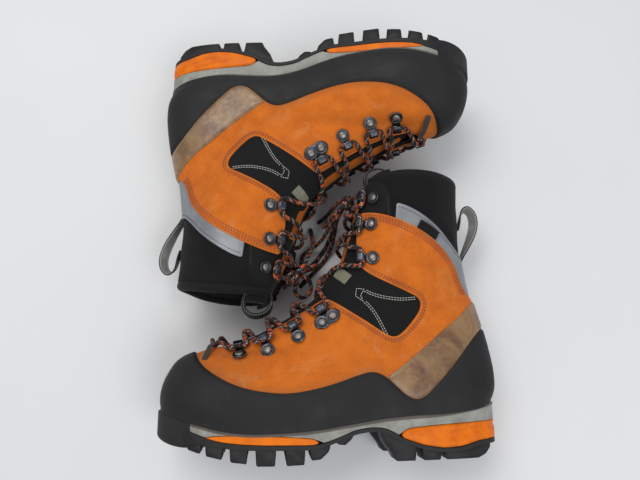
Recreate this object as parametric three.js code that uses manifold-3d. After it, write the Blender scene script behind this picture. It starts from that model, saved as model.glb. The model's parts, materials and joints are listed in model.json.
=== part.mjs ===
// A pair of mountaineering boots lying on their sides, heel to toe, as they are laid out on a table.
// Each boot is built standing: X runs from the heel to the toe, Y to the outer side of the foot and Z up
// the shaft, with Z = 0 at the lugs of the heel. The left boot is then laid on its inner side and its
// mirror image, the right boot, on its outer side. Millimetres throughout.
import * as THREE from "three";
import { mergeVertices } from "three/addons/utils/BufferGeometryUtils.js";
import Module from "manifold-3d";

const wasm = await Module();
wasm.setup();

// ---- Driving dimensions ------------------------------------------------------------------------

const heelX = -5; // plan outline of the sole, back and front
const toeX = 302.5;
const gap = 0.35; // between solids that touch
const leatherThick = 1.8;
const trimThick = 1.8; // rubber rand, which lies on the leather
const bandThick = 1.2; // heel band and reflective band
const liningThick = 3.5;
const tongueThick = 4;
const laceRadius = 2.1;
const rimCrown = 4; // how far the collar's rim rises between its back and its front
const shellColumns = 20; // facets round the upper
const shellRows = 12; // and up it

// Where the corner under each heel lies before the pair is centred, how far each boot turns about the
// table's X and Y until it rests on its rand at ball and heel and on its collar, and about Z.
const places = {
  left: { corner: [155.7, -203.2], lean: [0.0168, 0.0967], yaw: 0.01 },
  right: { corner: [-150.3, 203.2], lean: [-0.0202, -0.0904], yaw: -0.016 },
};

// ---- Small helpers -----------------------------------------------------------------------------

const clamp01 = (t) => Math.min(1, Math.max(0, t));
const ease = (t) => clamp01(t) ** 2 * (3 - 2 * clamp01(t));
const vec = (x, y, z) => new THREE.Vector3(x, y, z);

function hermite(a, b, slopeA, slopeB, f) {
  return (
    (2 * a - 2 * b + slopeA + slopeB) * f ** 3 +
    (3 * b - 3 * a - 2 * slopeA - slopeB) * f ** 2 +
    slopeA * f +
    a
  );
}

// A smooth curve through evenly spaced values, for t from 0 to 1.
function along(values, t) {
  const last = values.length - 1;
  const i = Math.min(last - 1, Math.floor(t * last));
  const at = (k) => values[Math.min(last, Math.max(0, k))];
  const [a, b, c, d] = [at(i - 1), at(i), at(i + 1), at(i + 2)];
  return hermite(b, c, (c - a) / 2, (d - b) / 2, t * last - i);
}

// A smooth function of x through [x, z] points.
function profile(points) {
  const slope = (k) => {
    const a = points[Math.max(0, k - 1)];
    const b = points[Math.min(points.length - 1, k + 1)];
    return (b[1] - a[1]) / (b[0] - a[0]);
  };
  return (x) => {
    let i = 0;
    while (i < points.length - 2 && x > points[i + 1][0]) i++;
    const [[x0, z0], [x1, z1]] = [points[i], points[i + 1]];
    const run = x1 - x0;
    return hermite(z0, z1, slope(i) * run, slope(i + 1) * run, clamp01((x - x0) / run));
  };
}

// Points along a smooth line through [x, z] points.
function smooth(points, perSpan = 1) {
  const curve = new THREE.SplineCurve(points.map(([x, z]) => new THREE.Vector2(x, z)));
  return curve.getPoints((points.length - 1) * perSpan).map((p) => [p.x, p.y]);
}

// ---- Solids ------------------------------------------------------------------------------------

// A manifold-3d solid of a closed three.js geometry, its faces pointing out.
function solid(geometry) {
  const bare = geometry.clone();
  for (const name of ["normal", "uv"]) bare.deleteAttribute(name);
  const merged = mergeVertices(bare, 1e-4);
  const triVerts = new Uint32Array(merged.index.array);
  const vertProperties = merged.attributes.position.array;
  const made = new wasm.Manifold(new wasm.Mesh({ numProp: 3, vertProperties, triVerts }));
  if (made.volume() > 0) return made;
  triVerts.reverse();
  return new wasm.Manifold(new wasm.Mesh({ numProp: 3, vertProperties, triVerts }));
}

// The solid's surface as a three.js geometry.
function geometryOf(made) {
  const mesh = made.getMesh();
  const position = new THREE.BufferAttribute(new Float32Array(mesh.vertProperties), 3);
  const geometry = new THREE.BufferGeometry().setAttribute("position", position);
  geometry.setIndex(new THREE.BufferAttribute(new Uint32Array(mesh.triVerts), 1));
  geometry.computeVertexNormals();
  return geometry;
}

// A skin over loops of points, each joined to the next; a chain that isn't a ring gets two end caps.
function loft(loops, closed = false) {
  const size = loops[0].length;
  const index = [];
  const id = (i, j) => (i % loops.length) * size + (j % size);
  for (let i = 0; i < loops.length - (closed ? 0 : 1); i++)
    for (let j = 0; j < size; j++) {
      index.push(id(i, j), id(i + 1, j), id(i + 1, j + 1));
      index.push(id(i, j), id(i + 1, j + 1), id(i, j + 1));
    }
  if (!closed)
    for (let j = 1; j < size - 1; j++) {
      index.push(id(0, 0), id(0, j), id(0, j + 1));
      index.push(id(loops.length - 1, 0), id(loops.length - 1, j + 1), id(loops.length - 1, j));
    }
  const geometry = new THREE.BufferGeometry().setFromPoints(loops.flat());
  geometry.setIndex(index);
  return solid(geometry);
}

// A side-view outline of [x, z] points, extruded across the boot from y0 to y1.
function across(outline, y0 = -90, y1 = 90) {
  const shape = new THREE.Shape(outline.map(([x, z]) => new THREE.Vector2(x, z)));
  const geometry = new THREE.ExtrudeGeometry(shape, { depth: y1 - y0, bevelEnabled: false });
  return solid(geometry.rotateX(Math.PI / 2).translate(0, y1, 0));
}

function box(low, high) {
  const [a, b] = [vec(...low), vec(...high)];
  const size = b.clone().sub(a);
  const centre = a.clone().add(b).divideScalar(2);
  return solid(new THREE.BoxGeometry(...size).translate(...centre));
}

const union = (parts) => parts.reduce((a, b) => a.add(b));

// Whether x, z is inside an outline of [x, z] points.
function inside(outline, x, z) {
  let crossings = 0;
  outline.forEach(([x1, z1], i) => {
    const [x2, z2] = outline[(i + 1) % outline.length];
    if (z1 > z !== z2 > z && x < x1 + ((z - z1) / (z2 - z1)) * (x2 - x1)) crossings++;
  });
  return crossings % 2 === 1;
}

// ---- The last: the boot's outer form -----------------------------------------------------------

// The line along the top of the sole; on the inner side it rises under the arch of the foot.
const soleLine = profile([
  [-2, 46.5], [12, 44], [23, 42], [49, 39.5], [83, 40], [108, 39.5], [134, 36], [160, 31],
  [185, 28], [219, 27], [244, 29.5], [270, 35.5], [285, 39], [308, 44.5],
]);
const archRise = 3.5;
const soleTop = (x, y) => soleLine(x) - (archRise * Math.exp(-(((x - 118) / 45) ** 2)) * y) / 40;

// The foot's middle line bends inwards to the big toe.
const bend = (x) => -9 * ease((x - 175) / 130) + 2.5 * Math.exp(-(((x - 125) / 60) ** 2));

// Rings round the boot, from the sole to the rim. Each spans from a point on the back line to a point
// on the front line, with its half widths at six even stations from back to front, and how blunt its
// back and front ends are (2 is an ellipse).
const rings = [
  { back: [0, 44], front: [297, 43], half: [46, 40, 38, 46.5, 53, 53], blunt: [3, 3] },
  { back: [-5, 57], front: [298, 57], half: [48, 41.5, 41, 49, 55, 53], blunt: [3, 3] },
  { back: [-6, 72], front: [294.5, 71], half: [48, 41.5, 41, 47.5, 51, 49], blunt: [2.8, 2.8] },
  { back: [-4.5, 87], front: [286, 84.5], half: [47, 41, 39.5, 43, 43, 41], blunt: [2.7, 2.4] },
  { back: [-2, 102], front: [269, 92.5], half: [45, 40, 38, 38.5, 34, 30], blunt: [2.6, 2.1] },
  { back: [1.5, 118], front: [239, 102], half: [43, 38.5, 37.5, 38.5, 37, 33], blunt: [2.5, 2] },
  { back: [6, 136], front: [208, 118.5], half: [42, 40, 40, 38, 36, 33], blunt: [2.3, 2] },
  { back: [9.5, 152], front: [179, 135.5], half: [42, 42, 42, 40, 37, 34], blunt: [2.2, 2] },
  { back: [12, 168], front: [154.5, 156], half: [42, 43, 43, 41, 39, 37], blunt: [2.1, 2] },
  { back: [14.5, 184], front: [141, 176.5], half: [43, 43.5, 43.5, 42, 41, 40], blunt: [2.1, 2] },
  { back: [15.5, 200], front: [134, 198], half: [44, 44, 44, 43, 42, 41], blunt: [2.1, 2.1] },
  { back: [15, 217], front: [127.5, 217], half: [45, 45, 45, 44, 43, 42], blunt: [2.1, 2.1] },
  { back: [15.5, 233.5], front: [121.5, 236], half: [46, 46, 46, 45.5, 45, 44], blunt: [2.1, 2.1] },
  { back: [15, 245], front: [115, 250], half: [46.5, 46.5, 47, 46.5, 46, 45], blunt: [2.1, 2.1] },
  { back: [14.5, 254], front: [110, 260], half: [46, 46, 46.5, 46, 45.5, 44.5], blunt: [2.1, 2.1] },
];

// One ring's figures at height v, from 0 at the sole to 1 at the rim.
function ringAt(v) {
  const of = (pick) => along(rings.map(pick), v);
  return {
    back: [of((r) => r.back[0]), of((r) => r.back[1])],
    front: [of((r) => r.front[0]), of((r) => r.front[1])],
    half: [0, 1, 2, 3, 4, 5].map((k) => of((r) => r.half[k])),
    blunt: [of((r) => r.blunt[0]), of((r) => r.blunt[1])],
  };
}

// Side-view height of the ring at share s of its way from back to front.
function ringHeight(ring, v, s, x, y) {
  const level = ring.back[1] + (ring.front[1] - ring.back[1]) * s;
  const start = rings[0].back[1] + (rings[0].front[1] - rings[0].back[1]) * s;
  const settle = (soleTop(x, y) + gap - start) * (1 - ease(v / 0.24));
  return level + settle + rimCrown * ease((v - 0.7) / 0.3) * 4 * s * (1 - s);
}

// A point of the last: angle 0 is the back, a half turn is the front, and the outer side comes first.
function lastPoint(angle, v) {
  const ring = ringAt(v);
  const c = Math.cos(angle);
  const s = (1 - c) / 2;
  const power = ring.blunt[c > 0 ? 0 : 1];
  const reach = Math.max(0, 1 - Math.abs(c) ** power) ** (1 / power) * along(ring.half, s);
  const x = ring.back[0] + (ring.front[0] - ring.back[0]) * s;
  const y = bend(x) + Math.sign(Math.sin(angle)) * reach;
  return vec(x, y, ringHeight(ring, v, s, x, y));
}

function lastNormal(angle, v) {
  const step = 0.004;
  const [low, high] = [Math.max(0, v - step), Math.min(1, v + step)];
  const up = lastPoint(angle, high).sub(lastPoint(angle, low));
  const round = lastPoint(angle + 0.02, v).sub(lastPoint(angle - 0.02, v));
  return up.cross(round).normalize();
}

// The point of the last, moved out by some millimetres.
const skin = (angle, v, out) => lastPoint(angle, v).addScaledVector(lastNormal(angle, v), out);

// The angle and height of the outer side's point that shows at x, z in the side view.
function locate(x, z) {
  let [low, high] = [0, 1];
  let s = 0;
  for (let i = 0; i < 40; i++) {
    const v = (low + high) / 2;
    const ring = ringAt(v);
    s = clamp01((x - ring.back[0]) / (ring.front[0] - ring.back[0]));
    const y = bend(x) + along(ring.half, s) * Math.sqrt(4 * s * (1 - s));
    if (ringHeight(ring, v, s, x, y) < z) low = v;
    else high = v;
  }
  return { angle: Math.acos(1 - 2 * s), v: (low + high) / 2 };
}

// A wall that follows the last all round, between two distances out from it and two of its rows. Its
// two faces are split into triangles alike, so that walls a little apart stay apart.
function shell(inner, outer, firstRow = 0, lastRow = shellRows) {
  const rows = lastRow - firstRow + 1;
  const grid = (out) => {
    const points = [];
    for (let i = 0; i < shellColumns; i++)
      for (let row = firstRow; row <= lastRow; row++)
        points.push(skin(((i + 0.5) / shellColumns) * 2 * Math.PI, row / shellRows, out));
    return points;
  };
  const index = [];
  const quad = (a, b, c, d) => index.push(a, b, c, a, c, d);
  const innerFace = shellColumns * rows;
  for (let i = 0; i < shellColumns; i++) {
    const [here, next] = [i * rows, ((i + 1) % shellColumns) * rows];
    for (let row = 0; row < rows - 1; row++) {
      const [a, b, c, d] = [here + row, next + row, next + row + 1, here + row + 1];
      quad(a, b, c, d);
      index.push(innerFace + a, innerFace + c, innerFace + b);
      index.push(innerFace + a, innerFace + d, innerFace + c);
    }
    const [last, nextLast] = [here + rows - 1, next + rows - 1];
    quad(here, innerFace + here, innerFace + next, next);
    quad(last, nextLast, innerFace + nextLast, innerFace + last);
  }
  const geometry = new THREE.BufferGeometry().setFromPoints([...grid(outer), ...grid(inner)]);
  geometry.setIndex(index);
  return solid(geometry);
}

// ---- Side-view outlines of the layers ----------------------------------------------------------

const randEdge = [
  [276, 99], [270, 90], [260, 79.5], [243, 69.5], [224, 62.5], [203, 59], [185, 58.5], [165, 61.5],
  [145, 66.5], [128, 72], [114, 75], [103, 71.5], [92, 62], [83, 54.5], [74.5, 51.5], [66, 54],
  [55, 63.5], [37, 81], [23, 96.5], [10, 109], [-6, 118],
];
const bandEdge = [[100, 70.5], [74, 89], [46, 111], [30, 123], [16, 135], [0, 145]];
const leatherTop = [
  [117.5, 223.5], [106, 221.5], [92, 217], [75, 209.5], [60, 201], [46, 191], [36, 181], [28, 169],
  [22, 155], [14, 145], [0, 141],
];
const greyTop = [[86, 230], [75, 226], [60, 217.5], [45, 206.5], [33, 195], [22, 186], [8, 181]];
const eyestay = [[263, 99], [250, 98.2], [236, 99.5], [212, 107.5], [187, 120.5], [166, 133.5], [153, 142]];
const windowEdge = [
  [153, 142], [143, 136], [133, 129.5], [112, 116], [99, 108], [92.5, 105.8], [86, 108], [78, 115.5],
  [69, 127], [66.5, 135.5], [70, 141.5], [80, 146.5], [97, 154.5], [112, 163], [121.5, 171.5],
];
const leatherFront = [[121.5, 171.5], [122.5, 190], [121, 208], [117.5, 223.5]];
const liningFront = [
  [247, 95], [238, 100.5], [208, 113.5], [179, 130.5], [153.5, 151], [137, 174], [129, 197],
  [123, 217], [117, 236], [111, 250], [104, 268],
];

const leatherOutline = [
  [-30, 0], [340, 0], [340, 130], [264, 130],
  ...smooth(eyestay), ...smooth(windowEdge).slice(1), ...smooth(leatherFront).slice(1),
  ...smooth(leatherTop).slice(1), [-30, 139],
];
const openingOutline = [...smooth(liningFront), [104, 330], [340, 330], [340, 120], [250, 120]];
const randOutline = [[-30, 0], [340, 0], [340, 130], [278, 130], ...smooth(randEdge), [-30, 124]];
const bandOutline = [
  ...smooth(bandEdge), [-30, 148], [-30, 124.4],
  ...smooth(randEdge).filter(([x]) => x < 99).toReversed().map(([x, z]) => [x, z + 0.6]),
];
const greyOutline = [
  ...smooth(greyTop), [-30, 178], [-30, 139.4],
  ...smooth(leatherTop).filter(([x]) => x < 86).toReversed().map(([x, z]) => [x, z + 0.6]),
  [86, 215.6],
];

// ---- Sole --------------------------------------------------------------------------------------

// Where the black outsole ends and the grey midsole and orange wedges start, seen from the side.
const outsoleTop = [
  [-30, 15.5], [14, 14.5], [34, 10.2], [50, 9.5], [67, 12], [76, 14.8], [87, 18.8], [95, 23.5],
  [102, 26.6], [111, 28], [120, 27.6], [130, 26], [138, 23], [147, 19.8], [156, 17.2], [165, 15.8],
  [185, 16], [219, 17], [244, 19.5], [257, 22.8],
];
const outsoleUnder = [
  [315, 34], [306, 24.5], [297, 19], [286, 15.6], [274, 14.5], [262, 16.5], [244, 14.5], [219, 12.6],
  [185, 12], [164, 12], [150, 15.6], [138, 19.4], [129, 22.5], [119, 24.2], [110, 24.2],
  [101, 22], [94, 18.6], [86, 14.4], [75, 11], [67, 8.2], [50, 6], [34, 6.4], [14, 10.4], [-30, 12],
];
const heelWedgeTop = [[-30, 31.5], [13, 30.6], [50, 29], [66, 28], [83, 26]];
const frontWedgeTop = [[161, 18.3], [167, 20.6], [193, 23], [219, 24.6], [248, 24], [258, 24.6]];

// Side profiles of the lugs, from the heel to the toe; the same ones stand on both edges of the sole.
const lugs = [
  [[4, 14], [4.5, 8], [10, 3], [18, 0], [49, 0], [50.5, 10]],
  [[53.5, 11], [54, 0], [70, 0], [71, 13]],
  [[75, 14], [77, 0], [94, 0], [97, 6], [103, 14], [108, 26]],
  [[130, 25], [133, 19], [139, 14.5], [145, 15.5], [148, 18.4]],
  [[151, 17], [153, 10], [160, 4], [168, 3.5], [170, 13]],
  [[173, 14], [174, 0.4], [189, 0], [190, 14]],
  [[197.5, 14], [198.5, 0], [214, 0.2], [215, 14]],
  [[221, 14], [222, 2.2], [235.5, 3.6], [236.5, 15]],
  [[241.5, 15.5], [243, 5.6], [256, 8.2], [257, 17]],
  [[260, 18], [261.5, 10], [272, 13], [273.5, 18]],
];
const lugInset = 17; // the lugs' inner faces, from the middle line
const firstMiddleLug = 5; // under the ball of the foot there are lugs in the middle too

// A block with the sole's plan outline, grown all round, between two heights given at x and y.
function soleBlock(bottom, top, grow, stations = 24) {
  const [back, front] = [heelX - grow, toeX + grow];
  const loops = [];
  for (let i = 0; i <= stations; i++) {
    const s = 0.001 + (0.998 * (1 - Math.cos((Math.PI * i) / stations))) / 2;
    const x = back + (front - back) * s;
    const end = (1 - Math.abs(1 - 2 * s) ** 3) ** (1 / 3);
    const half = end * (along(rings[0].half, s) + grow);
    const [inner, outer] = [bend(x) - half, bend(x) + half];
    loops.push([
      vec(x, inner, bottom(x, inner)), vec(x, outer, bottom(x, outer)),
      vec(x, outer, top(x, outer)), vec(x, inner, top(x, inner)),
    ]);
  }
  return loft(loops);
}

const soleGrow = 1.5; // how far the sole stands out beyond the upper
const wholeSole = soleBlock(() => -5, soleTop, soleGrow);
const soleRoom = soleBlock(() => -20, (x, y) => soleTop(x, y) + gap, 12);

// A part of the upper, cut to stand clear on the sole.
const onSole = (made) => made.subtract(soleRoom);

const outsoleRegion = [...outsoleTop, [270, 36.5], [272, 70], [340, 70], [340, 34], ...outsoleUnder];

function outsole() {
  const body = wholeSole.intersect(across(outsoleRegion));
  const room = wholeSole.intersect(across([[-30, -9], ...outsoleTop, [340, 30], [340, -9]]));
  const treads = lugs.flatMap((points, i) => [
    across(points, lugInset, 90),
    across(points, -90, -lugInset),
    ...(i >= firstMiddleLug ? [across(points, -8, 6)] : []),
  ]);
  return union([body, ...treads.map((lug) => lug.intersect(room))]);
}

const heelWedgeRegion = [
  ...smooth(heelWedgeTop), [90, 20.6], [86, 18.8], [76, 15.2], [67, 12.4], [50, 9.9], [34, 10.6],
  [14, 14.9], [-30, 15.9],
];
const frontWedgeRegion = [
  ...frontWedgeTop, [256, 23.1], [244, 19.9], [219, 17.4], [185, 16.4], [165, 16.2],
];

function midsole() {
  const raise = (line) => line.map(([x, z]) => [x, z + gap]);
  const region = [...raise(outsoleTop), [269.5, 36.5], [269.5, 70], [-30, 70]];
  const underHeel = [...raise(smooth(heelWedgeTop)), [91, 20.9], [91, 0], [-30, 0]];
  const underFront = [[159, 0], [159, 18], ...raise(frontWedgeTop), [260, 24.6], [260, 0]];
  return wholeSole
    .intersect(across(region))
    .subtract(across(underHeel))
    .subtract(across(underFront));
}

// A plate inside the upper that follows the sole, between two heights over the sole's top.
function insidePlate(low, high, inset) {
  return soleBlock(
    (x, y) => soleTop(x, y) + low,
    (x, y) => soleTop(x, y) + high,
    -inset,
  );
}

// ---- Tongue and loops --------------------------------------------------------------------------

// The tongue lies under the edges of the opening, from the toe end of the lacing to above the rim.
function tongue() {
  const outside = -liningThick - 4 * gap;
  const under = outside - tongueThick;
  const loops = [];
  for (let i = 0; i <= 14; i++) {
    const v = 0.345 + (0.655 * i) / 14;
    const lift = 9 * ease((v - 0.9) / 0.1); // the padded top stands above the rim
    const spread = 0.5 + 0.28 * ease((v - 0.345) / 0.35);
    const row = [-1, -2 / 3, -1 / 3, 0, 1 / 3, 2 / 3, 1].map((k) => Math.PI + k * spread);
    const raise = vec(-0.35 * lift, 0, lift);
    loops.push([
      ...row.map((a) => skin(a, v, outside).add(raise)),
      ...row.toReversed().map((a) => skin(a, v, under).add(raise)),
    ]);
  }
  return loft(loops);
}

// A flat strap along a line of points, its width along one direction.
function strap(points, widthAxis, width, thick) {
  const loops = points.map((p, i) => {
    const ahead = points[Math.min(points.length - 1, i + 1)];
    const behind = points[Math.max(0, i - 1)];
    const way = ahead.clone().sub(behind).normalize();
    const side = widthAxis.clone().addScaledVector(way, -widthAxis.dot(way)).normalize();
    const out = way.clone().cross(side);
    const corner = (a, b) =>
      p.clone().addScaledVector(side, (a * width) / 2).addScaledVector(out, (b * thick) / 2);
    return [corner(-1, -1), corner(1, -1), corner(1, 1), corner(-1, 1)];
  });
  return loft(loops);
}

const heelLoopLine = [
  [10.8, 185], [6.5, 193], [-0.5, 207], [-4.5, 220], [-3.5, 231], [2, 237], [7.6, 233], [10.6, 222],
];
const tongueLoopLine = [
  [107.4, 263], [107.6, 269], [104.5, 275], [97, 279], [88, 279], [81, 273.5], [79.5, 264], [84, 253],
  [93, 247.5], [101.5, 246],
];
const strapWidth = 12;
const strapThick = 1.5;

const loopSolid = (line) =>
  strap(smooth(line).map(([x, z]) => vec(x, 0, z)), vec(0, 1, 0), strapWidth, strapThick);

// ---- Lace hooks --------------------------------------------------------------------------------

// Rivet centre and the way to the lace channel, in the side view, from the toe to the collar.
const hooks = [
  { name: "eyelet_1", at: [229.5, 87.5], way: [0.12, 1], packing: 1.4 },
  { name: "eyelet_2", at: [204, 93.5], way: [0.27, 0.96], packing: 2.3 },
  { name: "eyelet_3", at: [177.5, 105.5], way: [0.42, 0.91] },
  { name: "ankle_lock", at: [151.5, 121], way: [0.5, 0.87], twin: true },
  { name: "lower_hook", at: [108.5, 177.5], way: [1, 0.02] },
  { name: "middle_hook", at: [108, 210], way: [1, 0.02] },
  { name: "collar_hook", at: [105.5, 237], way: [1, 0.04], onCollar: true },
];
const plateMiddle = 5; // half way from the rivet to the channel
const toeCorner = [255, 95]; // where the lace turns at the toe end

// A frame on the upper's surface at a hook's rivet: X towards the lace channel, Z out of the boot.
// outer is true on the outer side of the foot.
function hookFrame({ at, way, onCollar, packing = 0 }, outer) {
  const place = (d) => {
    const { angle, v } = locate(at[0] + way[0] * d, at[1] + way[1] * d);
    return [outer ? angle : 2 * Math.PI - angle, v];
  };
  const rivet = lastPoint(...place(0));
  let reach = plateMiddle; // in the side view, for a plate that lies along the slope of the upper
  for (let i = 0; i < 4; i++) reach *= plateMiddle / lastPoint(...place(reach)).distanceTo(rivet);
  const middle = place(reach);
  const z = lastNormal(...middle);
  const x = lastPoint(...place(2 * reach)).sub(rivet);
  x.addScaledVector(z, -x.dot(z)).normalize();
  const y = z.clone().cross(x);
  const lift = (onCollar ? 0 : leatherThick + gap) + 3 * gap + packing;
  const origin = lastPoint(...middle).addScaledVector(x, -plateMiddle).addScaledVector(z, lift);
  const [angle, v] = place(2 * reach);
  return { matrix: new THREE.Matrix4().makeBasis(x, y, z).setPosition(origin), angle, v };
}

const plateThick = 1;
const channel = { from: 7.6, to: 12.9, height: 5.3, half: 4.4 };

function disc(x, y, radius, low, high, sides) {
  const geometry = new THREE.CylinderGeometry(radius, radius, high - low, sides);
  return solid(geometry.rotateX(Math.PI / 2).translate(x, y, (low + high) / 2));
}

// A riveted lace hook: round base, neck and a square channel that the lace runs through.
function hook(twin) {
  const rivets = twin ? [-5.6, 5.6] : [0];
  const parts = rivets.flatMap((y) => [
    disc(0, y, 4.9, 0, plateThick, 8),
    disc(0, y, 3.4, plateThick / 2, plateThick + 1.4, 6),
  ]);
  const neck = twin ? 5 : 3;
  parts.push(box([0, -neck, 0], [channel.from, neck, plateThick]));
  const top = plateThick + channel.height;
  const wall = plateThick;
  const outer = box([channel.from - wall, -channel.half, 0], [channel.to + wall, channel.half, top + wall]);
  const bore = box([channel.from, -20, plateThick], [channel.to, 20, top]);
  return union(parts).add(outer).subtract(bore);
}

// ---- Laces -------------------------------------------------------------------------------------

// A round tube of straight lengths through points.
function tube(points, radius, sides = 8) {
  const way = (i) =>
    points[Math.min(points.length - 1, i + 1)].clone().sub(points[Math.max(0, i - 1)]).normalize();
  let side = way(0).cross(vec(0.31, 0.52, 0.8)).normalize();
  const loops = points.map((p, i) => {
    const ahead = way(i);
    side = side.clone().addScaledVector(ahead, -side.dot(ahead)).normalize();
    const other = ahead.clone().cross(side);
    return Array.from({ length: sides }, (_, k) => {
      const a = (k / sides) * 2 * Math.PI;
      const spoke = side.clone().multiplyScalar(radius * Math.cos(a));
      return spoke.addScaledVector(other, radius * Math.sin(a)).add(p);
    });
  });
  return loft(loops);
}

// Where the lace runs in a hook: the middle of its channel and its direction, up the shaft, and the
// point of the last under it with the way out there.
function channelOf(spec, outer) {
  const { matrix, angle, v } = hookFrame(spec, outer);
  const centre = vec((channel.from + channel.to) / 2, 0, plateThick + channel.height / 2);
  const way = vec(0, 1, 0).transformDirection(matrix);
  if (way.dot(vec(-1, 0, 1)) < 0) way.negate();
  return { centre: centre.applyMatrix4(matrix), way, base: lastPoint(angle, v), out: lastNormal(angle, v) };
}

// The angle and height on the last that a point between the two sides meets when it moves out along a
// direction in the side view.
function surfacing(p, out) {
  const wide = Math.abs(p.y - bend(p.x));
  const at = (t) => locate(p.x + out.x * t, p.z + out.z * t);
  let [low, high] = [0, 50];
  for (let i = 0; i < 16; i++) {
    const t = (low + high) / 2;
    const { angle, v } = at(t);
    const there = lastPoint(angle, v);
    if (there.y - bend(there.x) > wide) low = t;
    else high = t;
  }
  const { angle, v } = at((low + high) / 2);
  return [p.y > bend(p.x) ? angle : 2 * Math.PI - angle, v];
}

// How far out from the last a lace lies on what is under it: leather, lining or tongue.
function laceHeight([angle, v]) {
  const { x, z } = lastPoint(angle, v);
  if (inside(leatherOutline, x, z)) return gap + leatherThick + laceRadius + 3 * gap;
  if (inside(openingOutline, x, z)) return -liningThick + laceRadius + 3 * gap;
  return laceRadius + 5 * gap;
}

const knotRadius = [7, 9, 10];
const knotCentre = skin(Math.PI, 0.872, 6.5);

// A stretch of lace across the front of the boot between two points of the last.
function crossing(from, to, out, hump) {
  const marks = [0.15, 0.32, 0.5, 0.68, 0.85];
  const under = [0, ...marks, 1].map((f) => surfacing(from.clone().lerp(to, f), out));
  const height = under.map(laceHeight);
  return marks.map((f, i) => {
    const rise = hump * (1 - ease(Math.abs(f - 0.5) / 0.25));
    return skin(...under[i + 1], Math.max(...height.slice(i, i + 3)) + rise);
  });
}

// Where the lace turns at the toe end, on one side of the foot.
function toeTurn(outer) {
  const { angle, v } = locate(...toeCorner);
  return lastPoint(outer ? angle : 2 * Math.PI - angle, v);
}

// The lace from the toe end up to the knot, through the hooks of both sides by turns.
function climb(startOuter, over) {
  const points = [];
  const half = channel.half + laceRadius + 2 * gap;
  let [from, outFrom] = [toeTurn(startOuter), vec(0.2, 0, 1)];
  hooks.forEach((spec, i) => {
    const { centre, way, base, out } = channelOf(spec, (i % 2 === 0) !== startOuter);
    const outward = outFrom.clone().add(out).setY(0).normalize();
    const onTop = (i % 2 === 0) === over;
    const to = base.clone().addScaledVector(way, -half);
    points.push(...crossing(from, to, outward, onTop ? 2 * laceRadius + 2 * gap : 0));
    points.push(centre.clone().addScaledVector(way, -half), centre.clone().addScaledVector(way, half));
    [from, outFrom] = [base.clone().addScaledVector(way, half), out];
  });
  const last = points.at(-1);
  const reach = last.clone().sub(knotCentre).normalize();
  const stop = knotCentre.clone().addScaledVector(reach, knotRadius[1] + 3 * gap);
  points.push(last.clone().lerp(stop, 0.5), stop);
  return points;
}

function lacePath() {
  const bar = crossing(toeTurn(true), toeTurn(false), vec(0.2, 0, 1), 4);
  const [first, second] = [climb(true, true), climb(false, false)];
  return [...first.toReversed(), ...bar.slice(1, -1), ...second];
}

// The free part of each lace, on the table between the boots: two loops and two ends from the knot.
// Points in the pair's own frame, each line from inside the knot.
const looseLines = {
  left: [
    [
      [23, 34, 58], [18, 30.5, 56.5], [11, 25, 50], [4.5, 21, 40.5], [1.5, 19.5, 31], [4, 22, 22.5],
      [10.5, 27, 22], [16, 31.5, 29], [19.5, 35, 39], [23, 37, 49],
    ],
    [
      [22, 40, 56], [17, 39.5, 51], [13, 38, 41], [9.5, 36.5, 30], [6, 35, 19], [2, 33.5, 9.5],
      [-3, 31.5, 2.9],
    ],
    [
      [22, 33, 53], [16.5, 27, 51], [10.5, 19.5, 43.5], [4.5, 12, 32], [-1, 6, 21], [-8, 2, 12],
      [-15, -2, 7], [-20.5, -7.5, 4.5], [-21.5, -14.5, 3], [-15.5, -18.5, 2.4], [-8.5, -14.5, 2.4],
      [-2.5, -7, 2.6], [3, 0.5, 5], [8, 9, 12], [12, 17.5, 22], [16, 26, 34], [22, 35, 47],
    ],
    [
      [22, 35, 48], [16, 24.5, 37], [13.5, 14, 24], [10.5, 2.5, 12], [5, -8, 4.6], [-2, -17, 2.4],
      [-9.5, -25.5, 2.4], [-16.5, -32.5, 2.4], [-22.5, -39, 2.4],
    ],
  ],
  right: [
    [
      [-25, -35, 51], [-24, -41, 49], [-26.5, -47, 45], [-25.5, -53, 39], [-19.5, -55.5, 33.5],
      [-13, -51.5, 31], [-11, -44, 33], [-14, -37.5, 38], [-24, -35, 46],
    ],
    [
      [-25, -34, 53], [-17, -24, 52], [-13, -15, 47], [-10.5, -7, 38.5], [-9.5, 1.5, 28],
      [-10, 9.5, 18], [-11, 16.5, 9.5], [-12, 22.5, 2.9],
    ],
    [
      [-25, -34, 50], [-15, -28, 47], [-8.5, -24, 40.5], [-4.5, -22, 31.5], [-4.5, -21.5, 22],
      [-9.5, -22.5, 15], [-16, -24.5, 14], [-20.5, -27, 20], [-22, -31, 32], [-26, -35, 46],
    ],
    [
      [-26, -34, 46], [-19.5, -26, 36], [-17.5, -22, 25], [-20, -21.5, 15], [-26, -21, 7],
      [-33, -20, 2.8], [-40, -18, 2.4],
    ],
  ],
};

// The knot with its loops and ends, as one solid.
function bow(side, toPair) {
  const ball = new THREE.SphereGeometry(1, 10, 8).scale(...knotRadius);
  const knot = solid(ball.translate(...knotCentre).applyMatrix4(toPair));
  const runs = looseLines[side].map((line) => {
    const curve = new THREE.CatmullRomCurve3(line.map((p) => vec(...p)));
    return tube(curve.getSpacedPoints(Math.round(curve.getLength() / 8)), laceRadius, 6);
  });
  return union([knot, ...runs]);
}

// ---- The boot ----------------------------------------------------------------------------------

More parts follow.
